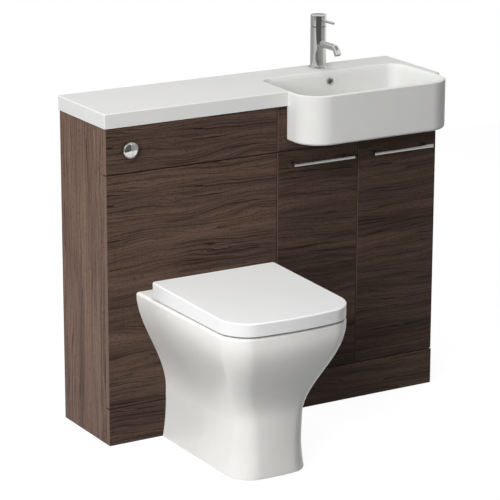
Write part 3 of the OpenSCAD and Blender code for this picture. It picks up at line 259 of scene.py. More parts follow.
def solid(name, points, faces):
    """A mesh object from points in millimetres, with its faces turned outwards"""
    mesh = bpy.data.meshes.new(name)
    mesh.from_pydata([Vector(p) / 1000 for p in points], [], faces)
    shape = bmesh.new()
    shape.from_mesh(mesh)
    bmesh.ops.recalc_face_normals(shape, faces=shape.faces)
    shape.to_mesh(mesh)
    shape.free()
    piece = bpy.data.objects.new(name, mesh)
    bpy.context.scene.collection.objects.link(piece)
    return piece


def loft(name, rings, loop=False):
    """A closed solid through rings with the same number of points"""
    n, count = len(rings[0]), len(rings)
    faces = []
    for j in range(count if loop else count - 1):
        a, b = j * n, (j + 1) % count * n
        faces += [(a + i, a + (i + 1) % n, b + (i + 1) % n, b + i) for i in range(n)]
    if not loop:
        faces += [tuple(range(n)), tuple(range((count - 1) * n, count * n))]
    return solid(name, [p for ring in rings for p in ring], faces)


def lathe(name, profile, place, loop=False, sides=96):
    """Turns a profile of radius and height about the Z axis, and sets it down by a matrix"""
    angles = [2 * math.pi * i / sides for i in range(sides)]
    rings = [[place @ Vector((r * math.cos(a), r * math.sin(a), z)) for a in angles]
             for r, z in profile]
    return loft(name, rings, loop)


def sweep(name, path, radii, sides=48):
    """A round bar along a path, with its sections square to the path"""
    rings = []
    for i, point in enumerate(path):
        along = (Vector(path[min(i + 1, len(path) - 1)]) - Vector(path[max(i - 1, 0)])).normalized()
        across = along.cross(Vector((0.3, 0.2, 1.0))).normalized()
        other = along.cross(across)
        rings.append([Vector(point) + radii[i] * (math.cos(a) * across + math.sin(a) * other)
                      for a in [2 * math.pi * k / sides for k in range(sides)]])
    return loft(name, rings)


def block(name, lo, hi):
    """A box between two corners"""
    points = [(x, y, z) for x in (lo[0], hi[0]) for y in (lo[1], hi[1]) for z in (lo[2], hi[2])]
    faces = [(0, 1, 3, 2), (4, 6, 7, 5), (0, 4, 5, 1), (2, 3, 7, 6), (0, 2, 6, 4), (1, 5, 7, 3)]
    return solid(name, points, faces)


def place_at(x, y, z=0.0, turned=0.0, axis="X"):
    """A place whose Z axis points up, or is turned by degrees about an axis"""
    return Matrix.Translation((x, y, z)) @ Matrix.Rotation(math.radians(turned), 4, axis)


def to_front(x, y, z):
    """A place whose Z axis points to the front of the unit"""
    return place_at(x, y, z, 90)


def to_wall(x, y, z):
    """A place whose Z axis points to the wall"""
    return place_at(x, y, z, -90)


def to_right(x, y, z):
    """A place whose Z axis points to the right"""
    return place_at(x, y, z, 90, "Y")


def rod(name, r, start, end, place):
    """A round bar along the Z axis of its place"""
    return lathe(name, [(r, start), (r, end)], place, sides=48)


def shape_with(base, operation, *tools):
    """Joins solids to a base, or cuts them from it, and removes the tools"""
    for tool in tools:
        step = base.modifiers.new("shape", "BOOLEAN")
        step.operation, step.solver, step.object = operation, "EXACT", tool
        seen = base.evaluated_get(bpy.context.evaluated_depsgraph_get())
        mesh = bpy.data.meshes.new_from_object(seen)
        base.modifiers.clear()
        base.data = mesh
        bpy.data.objects.remove(tool)
    return base


def soften(piece, edge):
    """Eases the sharp edges by a radius in millimetres and evens the shading beside them"""
    if edge:
        bevel = piece.modifiers.new("eased edge", "BEVEL")
        bevel.width, bevel.segments = edge / 1000, 2
        bevel.limit_method, bevel.angle_limit = "ANGLE", math.radians(38)
        bevel.use_clamp_overlap = False
    even = piece.modifiers.new("even shading", "WEIGHTED_NORMAL")
    even.keep_sharp = True


def finish_piece(piece, node, material, angle=32, edge=0.0):
    """Gives a piece its finish and smooth faces, and sets it in the place of its CAD node"""
    piece.name = node + "_form"
    faces = piece.data.polygons
    piece.data.materials.clear()
    piece.data.materials.append(material)
    faces.foreach_set("material_index", [0] * len(faces))
    faces.foreach_set("use_smooth", [True] * len(faces))
    piece.data.set_sharp_from_angle(angle=math.radians(angle))
    soften(piece, edge)
    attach(piece, BODY_OF[node])
    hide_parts(node)


def dress(nodes, material, edge=0.4):
    """Gives CAD nodes a finish, and eases their edges without a change to their meshes"""
    for node in nodes:
        piece = NODES[node]
        if not piece.material_slots:
            piece.data.materials.append(None)
        for slot in piece.material_slots:
            slot.link = "OBJECT"
            slot.material = material
        weld = piece.modifiers.new("weld", "WELD")
        weld.merge_threshold = 0.00001      # 0.01 mm
        flat = piece.modifiers.new("whole faces", "DECIMATE")
        flat.decimate_type, flat.angle_limit = "DISSOLVE", math.radians(0.4)
        soften(piece, edge)


# ---------------------------------------------------------------- materials

def add(tree, kind, settings=None, inputs=None):
    """Adds a node with its settings; an input is a value, a socket, or a node's first output"""
    node = tree.nodes.new(kind)
    for key, value in (settings or {}).items():
        setattr(node, key, value)
    for key, value in (inputs or {}).items():
        if isinstance(value, bpy.types.Node):
            value = value.outputs[0]
        if isinstance(value, bpy.types.NodeSocket):
            tree.links.new(value, node.inputs[key])
        else:
            node.inputs[key].default_value = value
    return node


def material(name, **values):
    """A new material with values on its shader's own sockets"""
    made = bpy.data.materials.new(name)
    made.use_nodes = True
    tree = made.node_tree
    shader = tree.nodes["Principled BSDF"]
    for key, value in values.items():
        socket = shader.inputs[key.replace("_", " ").title().replace("Ior", "IOR")]
        socket.default_value = (*value, 1.0) if hasattr(value, "__len__") else value
    return made, tree, shader


def in_mm(tree, turn_by=(0, 0, 0), shift=(0, 0, 0), scale=(1, 1, 1)):
    """Object coordinates in millimetres over a pattern's own size"""
    place = add(tree, "ShaderNodeTexCoord")
    turned = add(tree, "ShaderNodeMapping", None,
                 {"Vector": place.outputs["Object"], "Rotation": turn_by,
                  "Scale": (1000, 1000, 1000), "Location": shift})
    return add(tree, "ShaderNodeVectorMath", {"operation": "MULTIPLY"},
               {0: turned, 1: [1 / s for s in scale]})


def add_bump(tree, shader, height, depth, strength=1.0):
    """Raises the surface by a pattern, with its depth in millimetres"""
    bump = add(tree, "ShaderNodeBump", None,
               {"Height": height, "Distance": depth / 1000, "Strength": strength})
    tree.links.new(bump.outputs["Normal"], shader.inputs["Normal"])


def drift(tree, by, tint, low, high):
    """Lets a colour drift between two shares of itself, by a pattern from 0 to 1"""
    return add(tree, "ShaderNodeMix", {"data_type": "RGBA"},
               {"Factor": by, 6: (*[c * low for c in tint], 1.0),
                7: (*[min(1, c * high) for c in tint], 1.0)}).outputs[2]


def vary_gloss(tree, shader, by, low, high, start=0.0, end=1.0):
    """Lets the roughness follow a pattern, from low at its start value to high at its end"""
    rough = add(tree, "ShaderNodeMapRange", None,
                {"Value": by, "From Min": start, "From Max": end, "To Min": low, "To Max": high})
    tree.links.new(rough.outputs[0], shader.inputs["Roughness"])


def walnut_foil(name, grain, shift, painted_light_scale=1.0):
    """Printed walnut foil over board: growth lines that wander and close into eyes, fine fibres,
    and short dark pores. It is matt, and shows only a broad sheen at a flat angle."""
    s = bpy.context.scene.bathroom_unit.cabinet
    made, tree, shader = material(name, roughness=0.5, specular_ior_level=0.08)
    turned = {"X": (math.radians(-90), 0, 0), "Z": (0, math.radians(-90), 0)}[grain]
    board = in_mm(tree, turned, shift)
    noise, multiply = "ShaderNodeTexNoise", {"operation": "MULTIPLY"}
    across = add(tree, "ShaderNodeSeparateXYZ", None, {0: board})

    # The lines wander in a long and a short wave, each with its size along, across and into the
    # board, and the cut runs at a slope through them
    long_wave, short_wave = ((s.wave_length, s.band * 1.25, 0.09),
                             (s.wave_length / 4, s.band / 3.2, 0.04))
    cut_slope = 0.7
    wander = across.outputs["Y"]
    for size, height in ((long_wave, s.wave), (short_wave, s.wave / 5)):
        far = add(tree, "ShaderNodeVectorMath", multiply, {0: board, 1: [0.001 / v for v in size]})
        wave = add(tree, noise, {"noise_dimensions": "3D"},
                   {"Vector": far, "Scale": 1.0, "Detail": 2.0, "Roughness": 0.45})
        moved = add(tree, "ShaderNodeMath", {"operation": "MULTIPLY_ADD"},
                    {0: wave.outputs["Fac"], 1: height * 1000, 2: wander})
        wander = moved.outputs[0]
    deep = add(tree, "ShaderNodeMath", {"operation": "MULTIPLY_ADD"},
               {0: across.outputs["Z"], 1: cut_slope, 2: wander})

    # Bands, growth lines, fibres and pores, by their spacing across and reach along the grain
    def lines(spacing, reach, detail, rough):
        flat = add(tree, "ShaderNodeCombineXYZ", None, {0: across.outputs["X"], 1: deep})
        sized = add(tree, "ShaderNodeVectorMath", multiply,
                    {0: flat, 1: (1 / reach, 1 / spacing, 1)})
        return add(tree, noise, {"noise_dimensions": "2D"},
                   {"Vector": sized, "Scale": 1.0, "Detail": detail, "Roughness": rough}).outputs["Fac"]

    band = lines(s.band * 1000, 700, 1.0, 0.5)
    streak = lines(s.streak * 1000, 380, 2.0, 0.5)
    thin = lines(s.streak * 400, 280, 2.0, 0.6)
    fibre = lines(1.5, 50, 2.0, 0.6)
    pore = lines(1.1, 11, 0.0, 0.5)

    # Growth rings darken slowly and end sharply; the streaks vary their spacing, and the thin
    # lines their depth
    jitter, sharpness = 2.6, 3.0
    ring = add(tree, "ShaderNodeMath", {"operation": "MULTIPLY_ADD"},
               {0: streak, 1: jitter, 2: add(tree, "ShaderNodeMath", {"operation": "MULTIPLY"},
                                             {0: deep, 1: 0.001 / s.ring})})
    ring = add(tree, "ShaderNodeMath", {"operation": "FRACT"}, {0: ring})
    ring = add(tree, "ShaderNodeMath", {"operation": "POWER"}, {0: ring, 1: sharpness})
    depth = add(tree, "ShaderNodeMapRange", None, {"Value": thin, "From Min": 0.35, "From Max": 0.7})
    ring = add(tree, "ShaderNodeMath", {"operation": "MULTIPLY"}, {0: ring, 1: depth})

    # All of them together set a shade between the dark lines and the light bands
    plain, ring_weight = 0.66, -0.8
    total = add(tree, "ShaderNodeMath", {"operation": "MULTIPLY_ADD"},
                {0: ring, 1: ring_weight, 2: plain})
    for part, weight in ((band, 0.5), (streak, 0.5), (thin, 0.4), (fibre, 0.3)):
        level = add(tree, "ShaderNodeMath", {"operation": "SUBTRACT"}, {0: part, 1: 0.5})
        total = add(tree, "ShaderNodeMath", {"operation": "MULTIPLY_ADD"},
                    {0: level, 1: weight, 2: total})
    ramp = add(tree, "ShaderNodeValToRGB", None, {0: total})
    stops = ramp.color_ramp.elements
    stops[0].position, stops[1].position = 0.2, 0.86
    stops.new(0.5)
    # The board's brightness scale multiplies every stop and the pores: painted light on the end panels,
    # painted shade on the fascia and doors
    for stop, shade in zip(stops, (s.dark, s.middle, s.light)):
        stop.color = (*[c * painted_light_scale for c in shade], 1.0)
    dot = add(tree, "ShaderNodeMapRange", None,
              {"Value": pore, "From Min": 0.58, "From Max": 0.72, "To Min": 0.0, "To Max": 0.45})
    tint = add(tree, "ShaderNodeMix", {"data_type": "RGBA"},
               {"Factor": dot.outputs[0], 6: ramp.outputs["Color"],
                7: (*[c * painted_light_scale for c in s.dark], 1.0)})

    # The upright edges carry a plain edging strip
    if grain == "X":
        facing = add(tree, "ShaderNodeSeparateXYZ", None,
                     {0: add(tree, "ShaderNodeTexCoord").outputs["Normal"]})
        side = add(tree, "ShaderNodeMath", {"operation": "ABSOLUTE"}, {0: facing.outputs["X"]})
        side = add(tree, "ShaderNodeMath", {"operation": "GREATER_THAN"}, {0: side, 1: 0.8})
        tint = add(tree, "ShaderNodeMix", {"data_type": "RGBA"},
                   {"Factor": side, 6: tint.outputs[2], 7: (*s.strip, 1.0)})
    tree.links.new(tint.outputs[2], shader.inputs["Base Color"])
    vary_gloss(tree, shader, fibre, 0.42, 0.58, 0.3, 0.7)
    add_bump(tree, shader, fibre, 0.12, 0.35)
    return made


def gel_coat():
    """White gloss gel coat over a mineral casting: smooth and softly glossy, with a very faint
    waviness from the mould that only bends the edge of a reflection."""
    s = bpy.context.scene.bathroom_unit.top
    made, tree, shader = material("cast_gel_coat", base_color=s.gel_coat, roughness=0.4,
                                  specular_ior_level=0.3)
    cloud = add(tree, "ShaderNodeTexNoise", None,
                {"Vector": in_mm(tree, scale=(70, 70, 70)), "Scale": 1.0, "Detail": 2.0})
    tint = add(tree, "ShaderNodeMapRange", {"data_type": "FLOAT_VECTOR"},
               {"Vector": cloud.outputs["Color"], "From Min": (0.3,) * 3, "From Max": (0.7,) * 3,
                9: [c * 0.985 for c in s.gel_coat], 10: [min(1, c * 1.012) for c in s.gel_coat]})
    tree.links.new(tint.outputs["Vector"], shader.inputs["Base Color"])
    vary_gloss(tree, shader, cloud.outputs["Fac"], 0.35, 0.45)
    add_bump(tree, shader, cloud.outputs["Fac"], 0.15, 0.2)
    return made


def vitreous_china():
    """Vitreous china, slip cast and glazed white: a deep clear gloss over a faintly warm body,
    with the slow ripple of a fired glaze and a few pin-head specks."""
    s = bpy.context.scene.bathroom_unit.pan
    made, tree, shader = material("glazed_vitreous_china", base_color=s.glaze, roughness=0.3,
                                  coat_weight=0.12, coat_roughness=0.12)
    ripple = add(tree, "ShaderNodeTexNoise", None,
                 {"Vector": in_mm(tree, scale=(26, 26, 26)), "Scale": 1.0, "Detail": 1.5})
    speck = add(tree, "ShaderNodeTexVoronoi", None,
                {"Vector": in_mm(tree, scale=(34, 34, 34)), "Scale": 1.0})
    dot = add(tree, "ShaderNodeMapRange", None,
              {"Value": speck.outputs["Distance"], "From Min": 0.012, "From Max": 0.02,
               "To Min": 0.35, "To Max": 0.0})
    tint = add(tree, "ShaderNodeMix", {"data_type": "RGBA"},
               {"Factor": dot.outputs[0], 6: drift(tree, ripple.outputs["Fac"], s.glaze, 0.975, 1.02),
                7: (*linear("#b9b5aa"), 1.0)})
    tree.links.new(tint.outputs[2], shader.inputs["Base Color"])
    add_bump(tree, shader, ripple.outputs["Fac"], 0.12, 0.25)
    return made


def seat_plastic():
    """Thermoset seat plastic, pressed in a polished mould: even white, glossy, and hard."""
    s = bpy.context.scene.bathroom_unit.seat
    made, tree, shader = material("thermoset_seat_plastic", base_color=s.plastic, roughness=0.2)
    flow = add(tree, "ShaderNodeTexNoise", None,
               {"Vector": in_mm(tree, scale=(110, 160, 60)), "Scale": 1.0, "Detail": 2.0})
    fine = add(tree, "ShaderNodeTexNoise", None,
               {"Vector": in_mm(tree, scale=(3, 3, 3)), "Scale": 1.0, "Detail": 1.0})
    tree.links.new(drift(tree, flow.outputs["Fac"], s.plastic, 0.985, 1.01),
                   shader.inputs["Base Color"])
    vary_gloss(tree, shader, flow.outputs["Fac"], 0.16, 0.25)
    add_bump(tree, shader, fine.outputs["Fac"], 0.02, 0.15)
    return made


def metal(name, tint, rough, grain, depth, spread=0.25):
    """Plated or bare metal with a surface left by its making: the grain is the size of one mark
    in millimetres, long in the direction that the metal was worked"""
    made, tree, shader = material(name, base_color=tint, metallic=1.0, roughness=rough)
    mark = add(tree, "ShaderNodeTexNoise", None,
               {"Vector": in_mm(tree, scale=grain), "Scale": 1.0, "Detail": 2.0})
    haze = add(tree, "ShaderNodeTexNoise", None,
               {"Vector": in_mm(tree, scale=(22, 22, 22)), "Scale": 1.0, "Detail": 2.0})
    both = add(tree, "ShaderNodeMath", {"operation": "MULTIPLY"},
               {0: mark.outputs["Fac"], 1: haze.outputs["Fac"]})
    vary_gloss(tree, shader, both, rough * (1 - spread), rough * (1 + spread), 0.1, 0.45)
    tree.links.new(drift(tree, haze.outputs["Fac"], tint, 0.95, 1.03), shader.inputs["Base Color"])
    add_bump(tree, shader, mark.outputs["Fac"], depth, 0.3)
    return made


def moulded(name, code, rough, grain=0.8, depth=0.03):
    """Injection-moulded plastic or rubber: an even colour with the fine spark-eroded grain of its
    mould, drawn coarse enough to show, and slow changes of gloss from the melt's flow."""
    tint = linear(code)
    made, tree, shader = material(name, base_color=tint, roughness=rough)
    fine = add(tree, "ShaderNodeTexNoise", None,
               {"Vector": in_mm(tree, scale=(grain,) * 3), "Scale": 1.0, "Detail": 2.0})
    flow = add(tree, "ShaderNodeTexNoise", None,
               {"Vector": in_mm(tree, scale=(40, 40, 90)), "Scale": 1.0, "Detail": 1.0})
    tree.links.new(drift(tree, flow.outputs["Fac"], tint, 0.95, 1.04), shader.inputs["Base Color"])
    vary_gloss(tree, shader, flow.outputs["Fac"], rough * 0.85, rough * 1.15)
    add_bump(tree, shader, fine.outputs["Fac"], depth, 0.4)
    return made


def braided_hose():
    """Stainless steel wire braid over a hose: flat bundles of wire that cross at a slant, bright
    on their backs and dark in the gaps."""
    made, tree, shader = material("stainless_braid", metallic=1.0, roughness=0.32)
    heights = []
    for slant in (1.0, -1.0):
        run = add(tree, "ShaderNodeVectorMath", {"operation": "DOT_PRODUCT"},
                  {0: in_mm(tree), 1: (slant, slant * 0.9, 0.62)})
        wave = add(tree, "ShaderNodeMath", {"operation": "MULTIPLY"},
                   {0: run.outputs["Value"], 1: 2 * math.pi / 2.4})
        heights.append(add(tree, "ShaderNodeMath", {"operation": "SINE"}, {0: wave}))
    weave = add(tree, "ShaderNodeMath", {"operation": "MAXIMUM"}, {0: heights[0], 1: heights[1]})
    shade = add(tree, "ShaderNodeMapRange", {"data_type": "FLOAT_VECTOR"},
                {"Vector": weave, "From Min": (-0.4,) * 3, "From Max": (0.9,) * 3,
                 9: linear("#4b4c4e"), 10: linear("#b4b5b6")})
    tree.links.new(shade.outputs["Vector"], shader.inputs["Base Color"])
    add_bump(tree, shader, weave, 0.25, 0.6)
    return made


def finish_named(name):
    """Each plain finish, made once and then shared by its pieces"""
    if name in bpy.data.materials:
        return bpy.data.materials[name]
    s = bpy.context.scene.bathroom_unit
    return {
        # Nickel under bright chrome, polished: mirror-like, with faint wipe marks
        "polished_chrome": lambda: metal(name, s.tap.chrome, 0.06, (6, 6, 6), 0.01, 0.5),
        # Brushed along its length, then plated: a soft streaked gloss
        "satin_nickel": lambda: metal(name, s.door.nickel, 0.3, (40, 0.7, 0.7), 0.05),
        # Drawn and zinc-plated steel: dull bright grey with slight draw lines
        "bright_steel": lambda: metal(name, linear("#b3b4b5"), 0.3, (12, 12, 1.5), 0.03),
        # Brass turned on a lathe: yellow, with fine rings left by the tool
        "turned_brass": lambda: metal(name, linear("#c79a52"), 0.28, (20, 20, 0.9), 0.06),
        # Polypropylene fittings: white, half matt, smooth to the hand
        "white_polypropylene": lambda: moulded(name, "#e3e3df", 0.38),
        # Polypropylene in the cistern's thicker walls: paler, with a coarser mould grain
        "cistern_polypropylene": lambda: moulded(name, "#e7e7e4", 0.42, 1.2, 0.05),
        # Grey acetal inserts and nylon tubes: matt
        "grey_acetal": lambda: moulded(name, "#8e8f91", 0.5),
        # Vulcanised rubber: dull grey with a slightly dusty face
        "grey_rubber": lambda: moulded(name, "#77787a", 0.7, 0.6, 0.05),
    }[name]()


# ---------------------------------------------------------------- the stage

def seen_directly(tree):
    """1 where the camera, a reflection or glass looks at a surface, and 0 for the light it gives"""
    path = add(tree, "ShaderNodeLightPath")
    seen = path.outputs["Is Camera Ray"]
    for ray in ("Is Glossy Ray", "Is Transmission Ray"):
        seen = add(tree, "ShaderNodeMath", {"operation": "ADD", "use_clamp": True},
                   {0: seen, 1: path.outputs[ray]})
    return seen


def build_camera(scene):
    """Stands 5.6 m in front of the wall and 3.3 m left of the unit, looking down at it"""
    stand, lens = (-3.2624, -5.5981, 2.2618), 178.89
    yaw, pitch, roll = 0.5369, 0.2812, 0.0029
    eye = bpy.data.cameras.new("camera")
    eye.sensor_width, eye.lens = 36.0, lens
    eye.clip_start, eye.clip_end = 0.1, 60.0
    camera = bpy.data.objects.new("camera", eye)
    scene.collection.objects.link(camera)
    ahead = Vector((math.sin(yaw) * math.cos(pitch), math.cos(yaw) * math.cos(pitch),
                    -math.sin(pitch)))
    level = Vector((math.cos(yaw), -math.sin(yaw), 0))
    above = level.cross(ahead)
    right = math.cos(roll) * level + math.sin(roll) * above
    up = math.cos(roll) * above - math.sin(roll) * level
    camera.matrix_world = (Matrix.Translation(stand)
                           @ Matrix((right, up, -ahead)).transposed().to_4x4())
    scene.camera = camera


def build_floor(s):
    """A pale floor that keeps the unit's shadow and otherwise meets the white background"""
    made, tree, _ = material("pale_floor")
    shadow_catch, white = 0.13, 0.93
    dull = add(tree, "ShaderNodeBsdfDiffuse", None, {"Color": (*s.floor, 1.0)})
    catch = add(tree, "ShaderNodeBsdfDiffuse", None, {"Color": (*(shadow_catch,) * 3, 1.0)})
    glow = add(tree, "ShaderNodeEmission", None, {"Strength": white})
    lit = add(tree, "ShaderNodeAddShader", None, {0: catch, 1: glow})
    both = add(tree, "ShaderNodeMixShader", None, {0: seen_directly(tree), 1: dull, 2: lit})
    tree.links.new(both.outputs[0], tree.nodes["Material Output"].inputs["Surface"])
    floor = block("floor", (-2600, -2600, -20), (2600, 2200, -0.2))
    floor.data.materials.append(made)


def build_surroundings(scene, s):
    """White to look at, and only a weak even light on the unit"""
    world = bpy.data.worlds.new("white surroundings")
    scene.world = world
    world.use_nodes = True
    tree = world.node_tree
    level = add(tree, "ShaderNodeMapRange", None,
                {"Value": seen_directly(tree), "To Min": s.ambient, "To Max": 1.0})
    tree.links.new(level.outputs[0], tree.nodes["Background"].inputs["Strength"])
    tree.nodes["Background"].inputs["Color"].default_value = (1, 1, 1, 1)


def build_lamps(scene, s):
    """Large soft lamps all round, the strongest at the upper left, that no reflection shows"""
    aim, distance, size = Vector((0, -0.3, 0.5)), 5.0, 3.0
    for name, toward, power in (("key", (-0.75, -0.45, 0.5), s.key),
                                ("low", (-0.8, -0.6, 0.15), s.low),
                                ("overhead", (0.0, -0.15, 1.0), s.overhead),
                                ("fill", (0.6, -0.7, 0.4), s.fill),
                                ("back", (-0.6, 1.0, 0.35), s.back)):
        soft = bpy.data.lights.new(name, "AREA")
        soft.shape, soft.size, soft.energy = "SQUARE", size, power
        held = bpy.data.objects.new(name, soft)
        held.location = aim + distance * Vector(toward).normalized()
        held.rotation_euler = (-Vector(toward)).to_track_quat("-Z", "Y").to_euler()
        held.visible_glossy = False
        scene.collection.objects.link(held)


def build_screens():
    """Studio walls and a ceiling cloth, dark, grey and pale, that only reflections see"""
    thickness, cloth_z = 20, 2400
    screens = []
    for name, a, b, top, strength in (("dark_wall", (-2440, -1350), (780, -2980), 1700, 0.12),
                                      ("grey_wall", (790, -2980), (3080, -1060), 1500, 0.42),
                                      ("pale_wall", (-2900, 900), (-2450, -1340), 1500, 0.35),
                                      ("back_wall", (1500, 1100), (-2890, 1100), 1500, 0.45)):
        plan = [a, b, (b[0], b[1] - thickness), (a[0], a[1] - thickness)]
        screens.append((loft(name, [at_height(plan, z) for z in (0, top)]), strength))
    screens.append((block("grey_ceiling", (-1600, -1700, cloth_z), (1600, 500, cloth_z + 10)), 0.4))
    for screen, strength in screens:
        made, tree, _ = material(screen.name)
        glow = add(tree, "ShaderNodeEmission", None, {"Strength": strength})
        tree.links.new(glow.outputs[0], tree.nodes["Material Output"].inputs["Surface"])
        screen.data.materials.append(made)
        screen.visible_camera = screen.visible_diffuse = screen.visible_shadow = False
        screen.visible_transmission = screen.visible_volume_scatter = False


def build_stage():
    s, scene = bpy.context.scene.bathroom_unit.stage, bpy.context.scene
    scene.view_settings.view_transform = "Standard"
    build_camera(scene)
    build_floor(s)
    build_surroundings(scene, s)
    build_lamps(scene, s)
    build_screens()


# ---------------------------------------------------------------- cabinets and fittings

def build_cabinets():
    edge = bpy.context.scene.bathroom_unit.cabinet.board_edge * 1000
    # Each foil's grain direction, its place on the printed roll in millimetres, a brightness scale and
    # its boards. The scale is painted light and shade: the end panels are painted lighter for the
    # strong light from the left, and the fascia and the doors darker for the shade under the top and
    # the basin
    foils = {
        "walnut_foil_end": ("Z", (40, 260, 10), 1.74, ["wc_left_side", "wc_right_side"]),
        "walnut_foil_end_right": ("Z", (410, 80, 60), 1.0, ["vanity_left_side", "vanity_right_side"]),
        "walnut_foil_fascia": ("X", (0, 0, 0), 0.84, ["wc_fascia"]),
        "walnut_foil_panel": ("X", (0, 150, 0), 0.94, ["wc_access_panel", "plinths"]),
        "walnut_foil_left_door": ("X", (260, 420, 30), 0.79, ["left_door", "vanity_fascia"]),
        "walnut_foil_right_door": ("X", (910, 770, 80), 0.82, ["right_door"]),
        "walnut_foil_inside": ("X", (500, 900, 300), 1.0,
                               ["carcass_rails", "vanity_base", "vanity_shelf"]),
    }
    for name, (grain, shift, painted_light_scale, nodes) in foils.items():
        dress(nodes, walnut_foil(name, grain, shift, painted_light_scale), edge)


def build_fittings():
    dress(["fixing_blocks", "door_bumpers"], finish_named("white_polypropylene"))
    dress(["hinge_arms", "left_hinge_cups", "right_hinge_cups", "left_handle_screws",
           "right_handle_screws", "pan_brackets"], finish_named("satin_nickel"), 0.3)
    dress(["shelf_pins", "seat_hinge_pins"], finish_named("bright_steel"), 0.2)


def build_handles():
    s = bpy.context.scene.bathroom_unit.door
    bar_r, post_r = s.bar_r * 1000, s.post_r * 1000
    post_x = 80     # from the bar's middle to each post
    for side in ("left", "right"):
        lo, hi = corners(side + "_handle")
        half, y, z = (hi[0] - lo[0]) / 2, lo[1] + bar_r, lo[2] + bar_r
        centre = (lo[0] + hi[0]) / 2
        tip = [(bar_r - inset, half - drop) for inset, drop in rounding(0.8, 4)]
        bar = lathe("bar", [(r, -h) for r, h in tip[::-1]] + tip, to_right(centre, y, z), sides=48)
        bar = shape_with(bar, "UNION", *[rod("post", post_r, 0, FACE_Y - y - 0.05, to_wall(
            centre + k * post_x, y, z)) for k in (-1, 1)])
        finish_piece(bar, side + "_handle", finish_named("satin_nickel"), edge=0.3)


# ---------------------------------------------------------------- top, basin and waste

def bowl_ring(inset, z):
    """One ring of the basin's bowl, drawn in by inset from its mouth, wider toward the front"""
    half, front, back_r, front_r, spread = 216, -346, 34, 60, 9
    return at_height(outline(half - inset, BOWL_BACK - inset, front + inset,
                             max(2, back_r - inset / 2), max(8, front_r - inset / 2), -spread),
                     z, TAP_AT[0])


def build_top():
    s = bpy.context.scene.bathroom_unit.top
    edge, rim, corner, lower, floor_r = (
        v * 1000 for v in (s.edge, s.rim, s.corner, s.lower_edge, s.floor))
    centre, half = (TOP_LO[0] + TOP_HI[0]) / 2, (TOP_HI[0] - TOP_LO[0]) / 2
    under, slab_r = DECK_Z - 38, 3.5
    slab_front = FACE_Y - 3.5
    basin_half, basin_back = 229, FACE_Y + 17.7
    shell_half, shell_back, shell_r = 220.5, -85, 43
    waste_hole_r, tap_hole_r, overflow_r = 23, 16, 8.2

    # The slab over both units
    def slab_ring(inset, z):
        r = slab_r - inset / 2
        return at_height(outline(half - inset, -inset, slab_front + inset, r, r, steps=6), z, centre)

    top = loft("top", [slab_ring(1.0, under), slab_ring(0.3, under + 0.3), slab_ring(0, under + 1.0)]
               + [slab_ring(i, DECK_Z - d) for i, d in rounding(edge)])

    # The basin in front of the doors, and its shell behind them
    def basin_ring(inset, z):
        return at_height(outline(basin_half - inset, basin_back, TOP_LO[1] + inset, 2,
                                 corner - inset, steps=20), z, TAP_AT[0])

    low = [basin_ring(i, TOP_LO[2] + d) for i, d in rounding(lower, 7)][::-1]
    basin = loft("basin", low + [basin_ring(i, DECK_Z - d) for i, d in rounding(edge)])
    shell = outline(shell_half, shell_back, basin_back - OVER, shell_r, 2)
    back = loft("bowl_back", [at_height(shell, z, TAP_AT[0]) for z in (TOP_LO[2], DECK_Z - OVER)])

    # The bowl: a rounded floor, straight sides that lean in, and a rounded rim
    z_floor, z_lip, z_rim = TOP_LO[2] + BOWL_T, DECK_Z - BOWL_LIP, DECK_Z - rim
    rings = [bowl_ring(BOWL_IN_LOW + floor_r * (1 - math.sin(a)),
                       z_floor + floor_r * (1 - math.cos(a))) for a in quarter(8)]
    rings += [bowl_ring(mix(BOWL_IN_LOW, BOWL_IN_HIGH, i / 4), mix(z_floor + floor_r, z_lip, i / 4))
              for i in range(1, 5)]
    rings += [bowl_ring(1.0, z_rim - 3)]
    rings += [bowl_ring(0.5 - rim * (1 - math.cos(a)), z_rim + rim * math.sin(a)) for a in quarter(6)]
    rings += [bowl_ring(0.5 - rim, DECK_Z + 2 * OVER)]

    top = shape_with(top, "UNION", back, basin)
    top = shape_with(top, "DIFFERENCE", loft("bowl", rings),
                     rod("waste_hole", waste_hole_r, TOP_LO[2] - OVER, DECK_Z, place_at(*WASTE_AT)),
                     rod("tap_hole", tap_hole_r, under - OVER, DECK_Z + OVER, place_at(*TAP_AT)),
                     rod("overflow_hole", overflow_r, -12, 6, overflow_place()))
    finish_piece(top, "basin_top", gel_coat(), angle=40)


def overflow_place():
    """A place on the bowl's back wall at the overflow, with Z out of the wall"""
    floor_r = bpy.context.scene.bathroom_unit.top.floor * 1000
    z, z_lip = DECK_Z - 28, DECK_Z - BOWL_LIP
    height = z_lip - (TOP_LO[2] + BOWL_T + floor_r)
    inset = mix(BOWL_IN_HIGH, BOWL_IN_LOW, (z_lip - z) / height)
    lean = math.degrees(math.atan2(BOWL_IN_LOW - BOWL_IN_HIGH, height))
    return place_at(TAP_AT[0], BOWL_BACK - inset, z, 90 - lean)


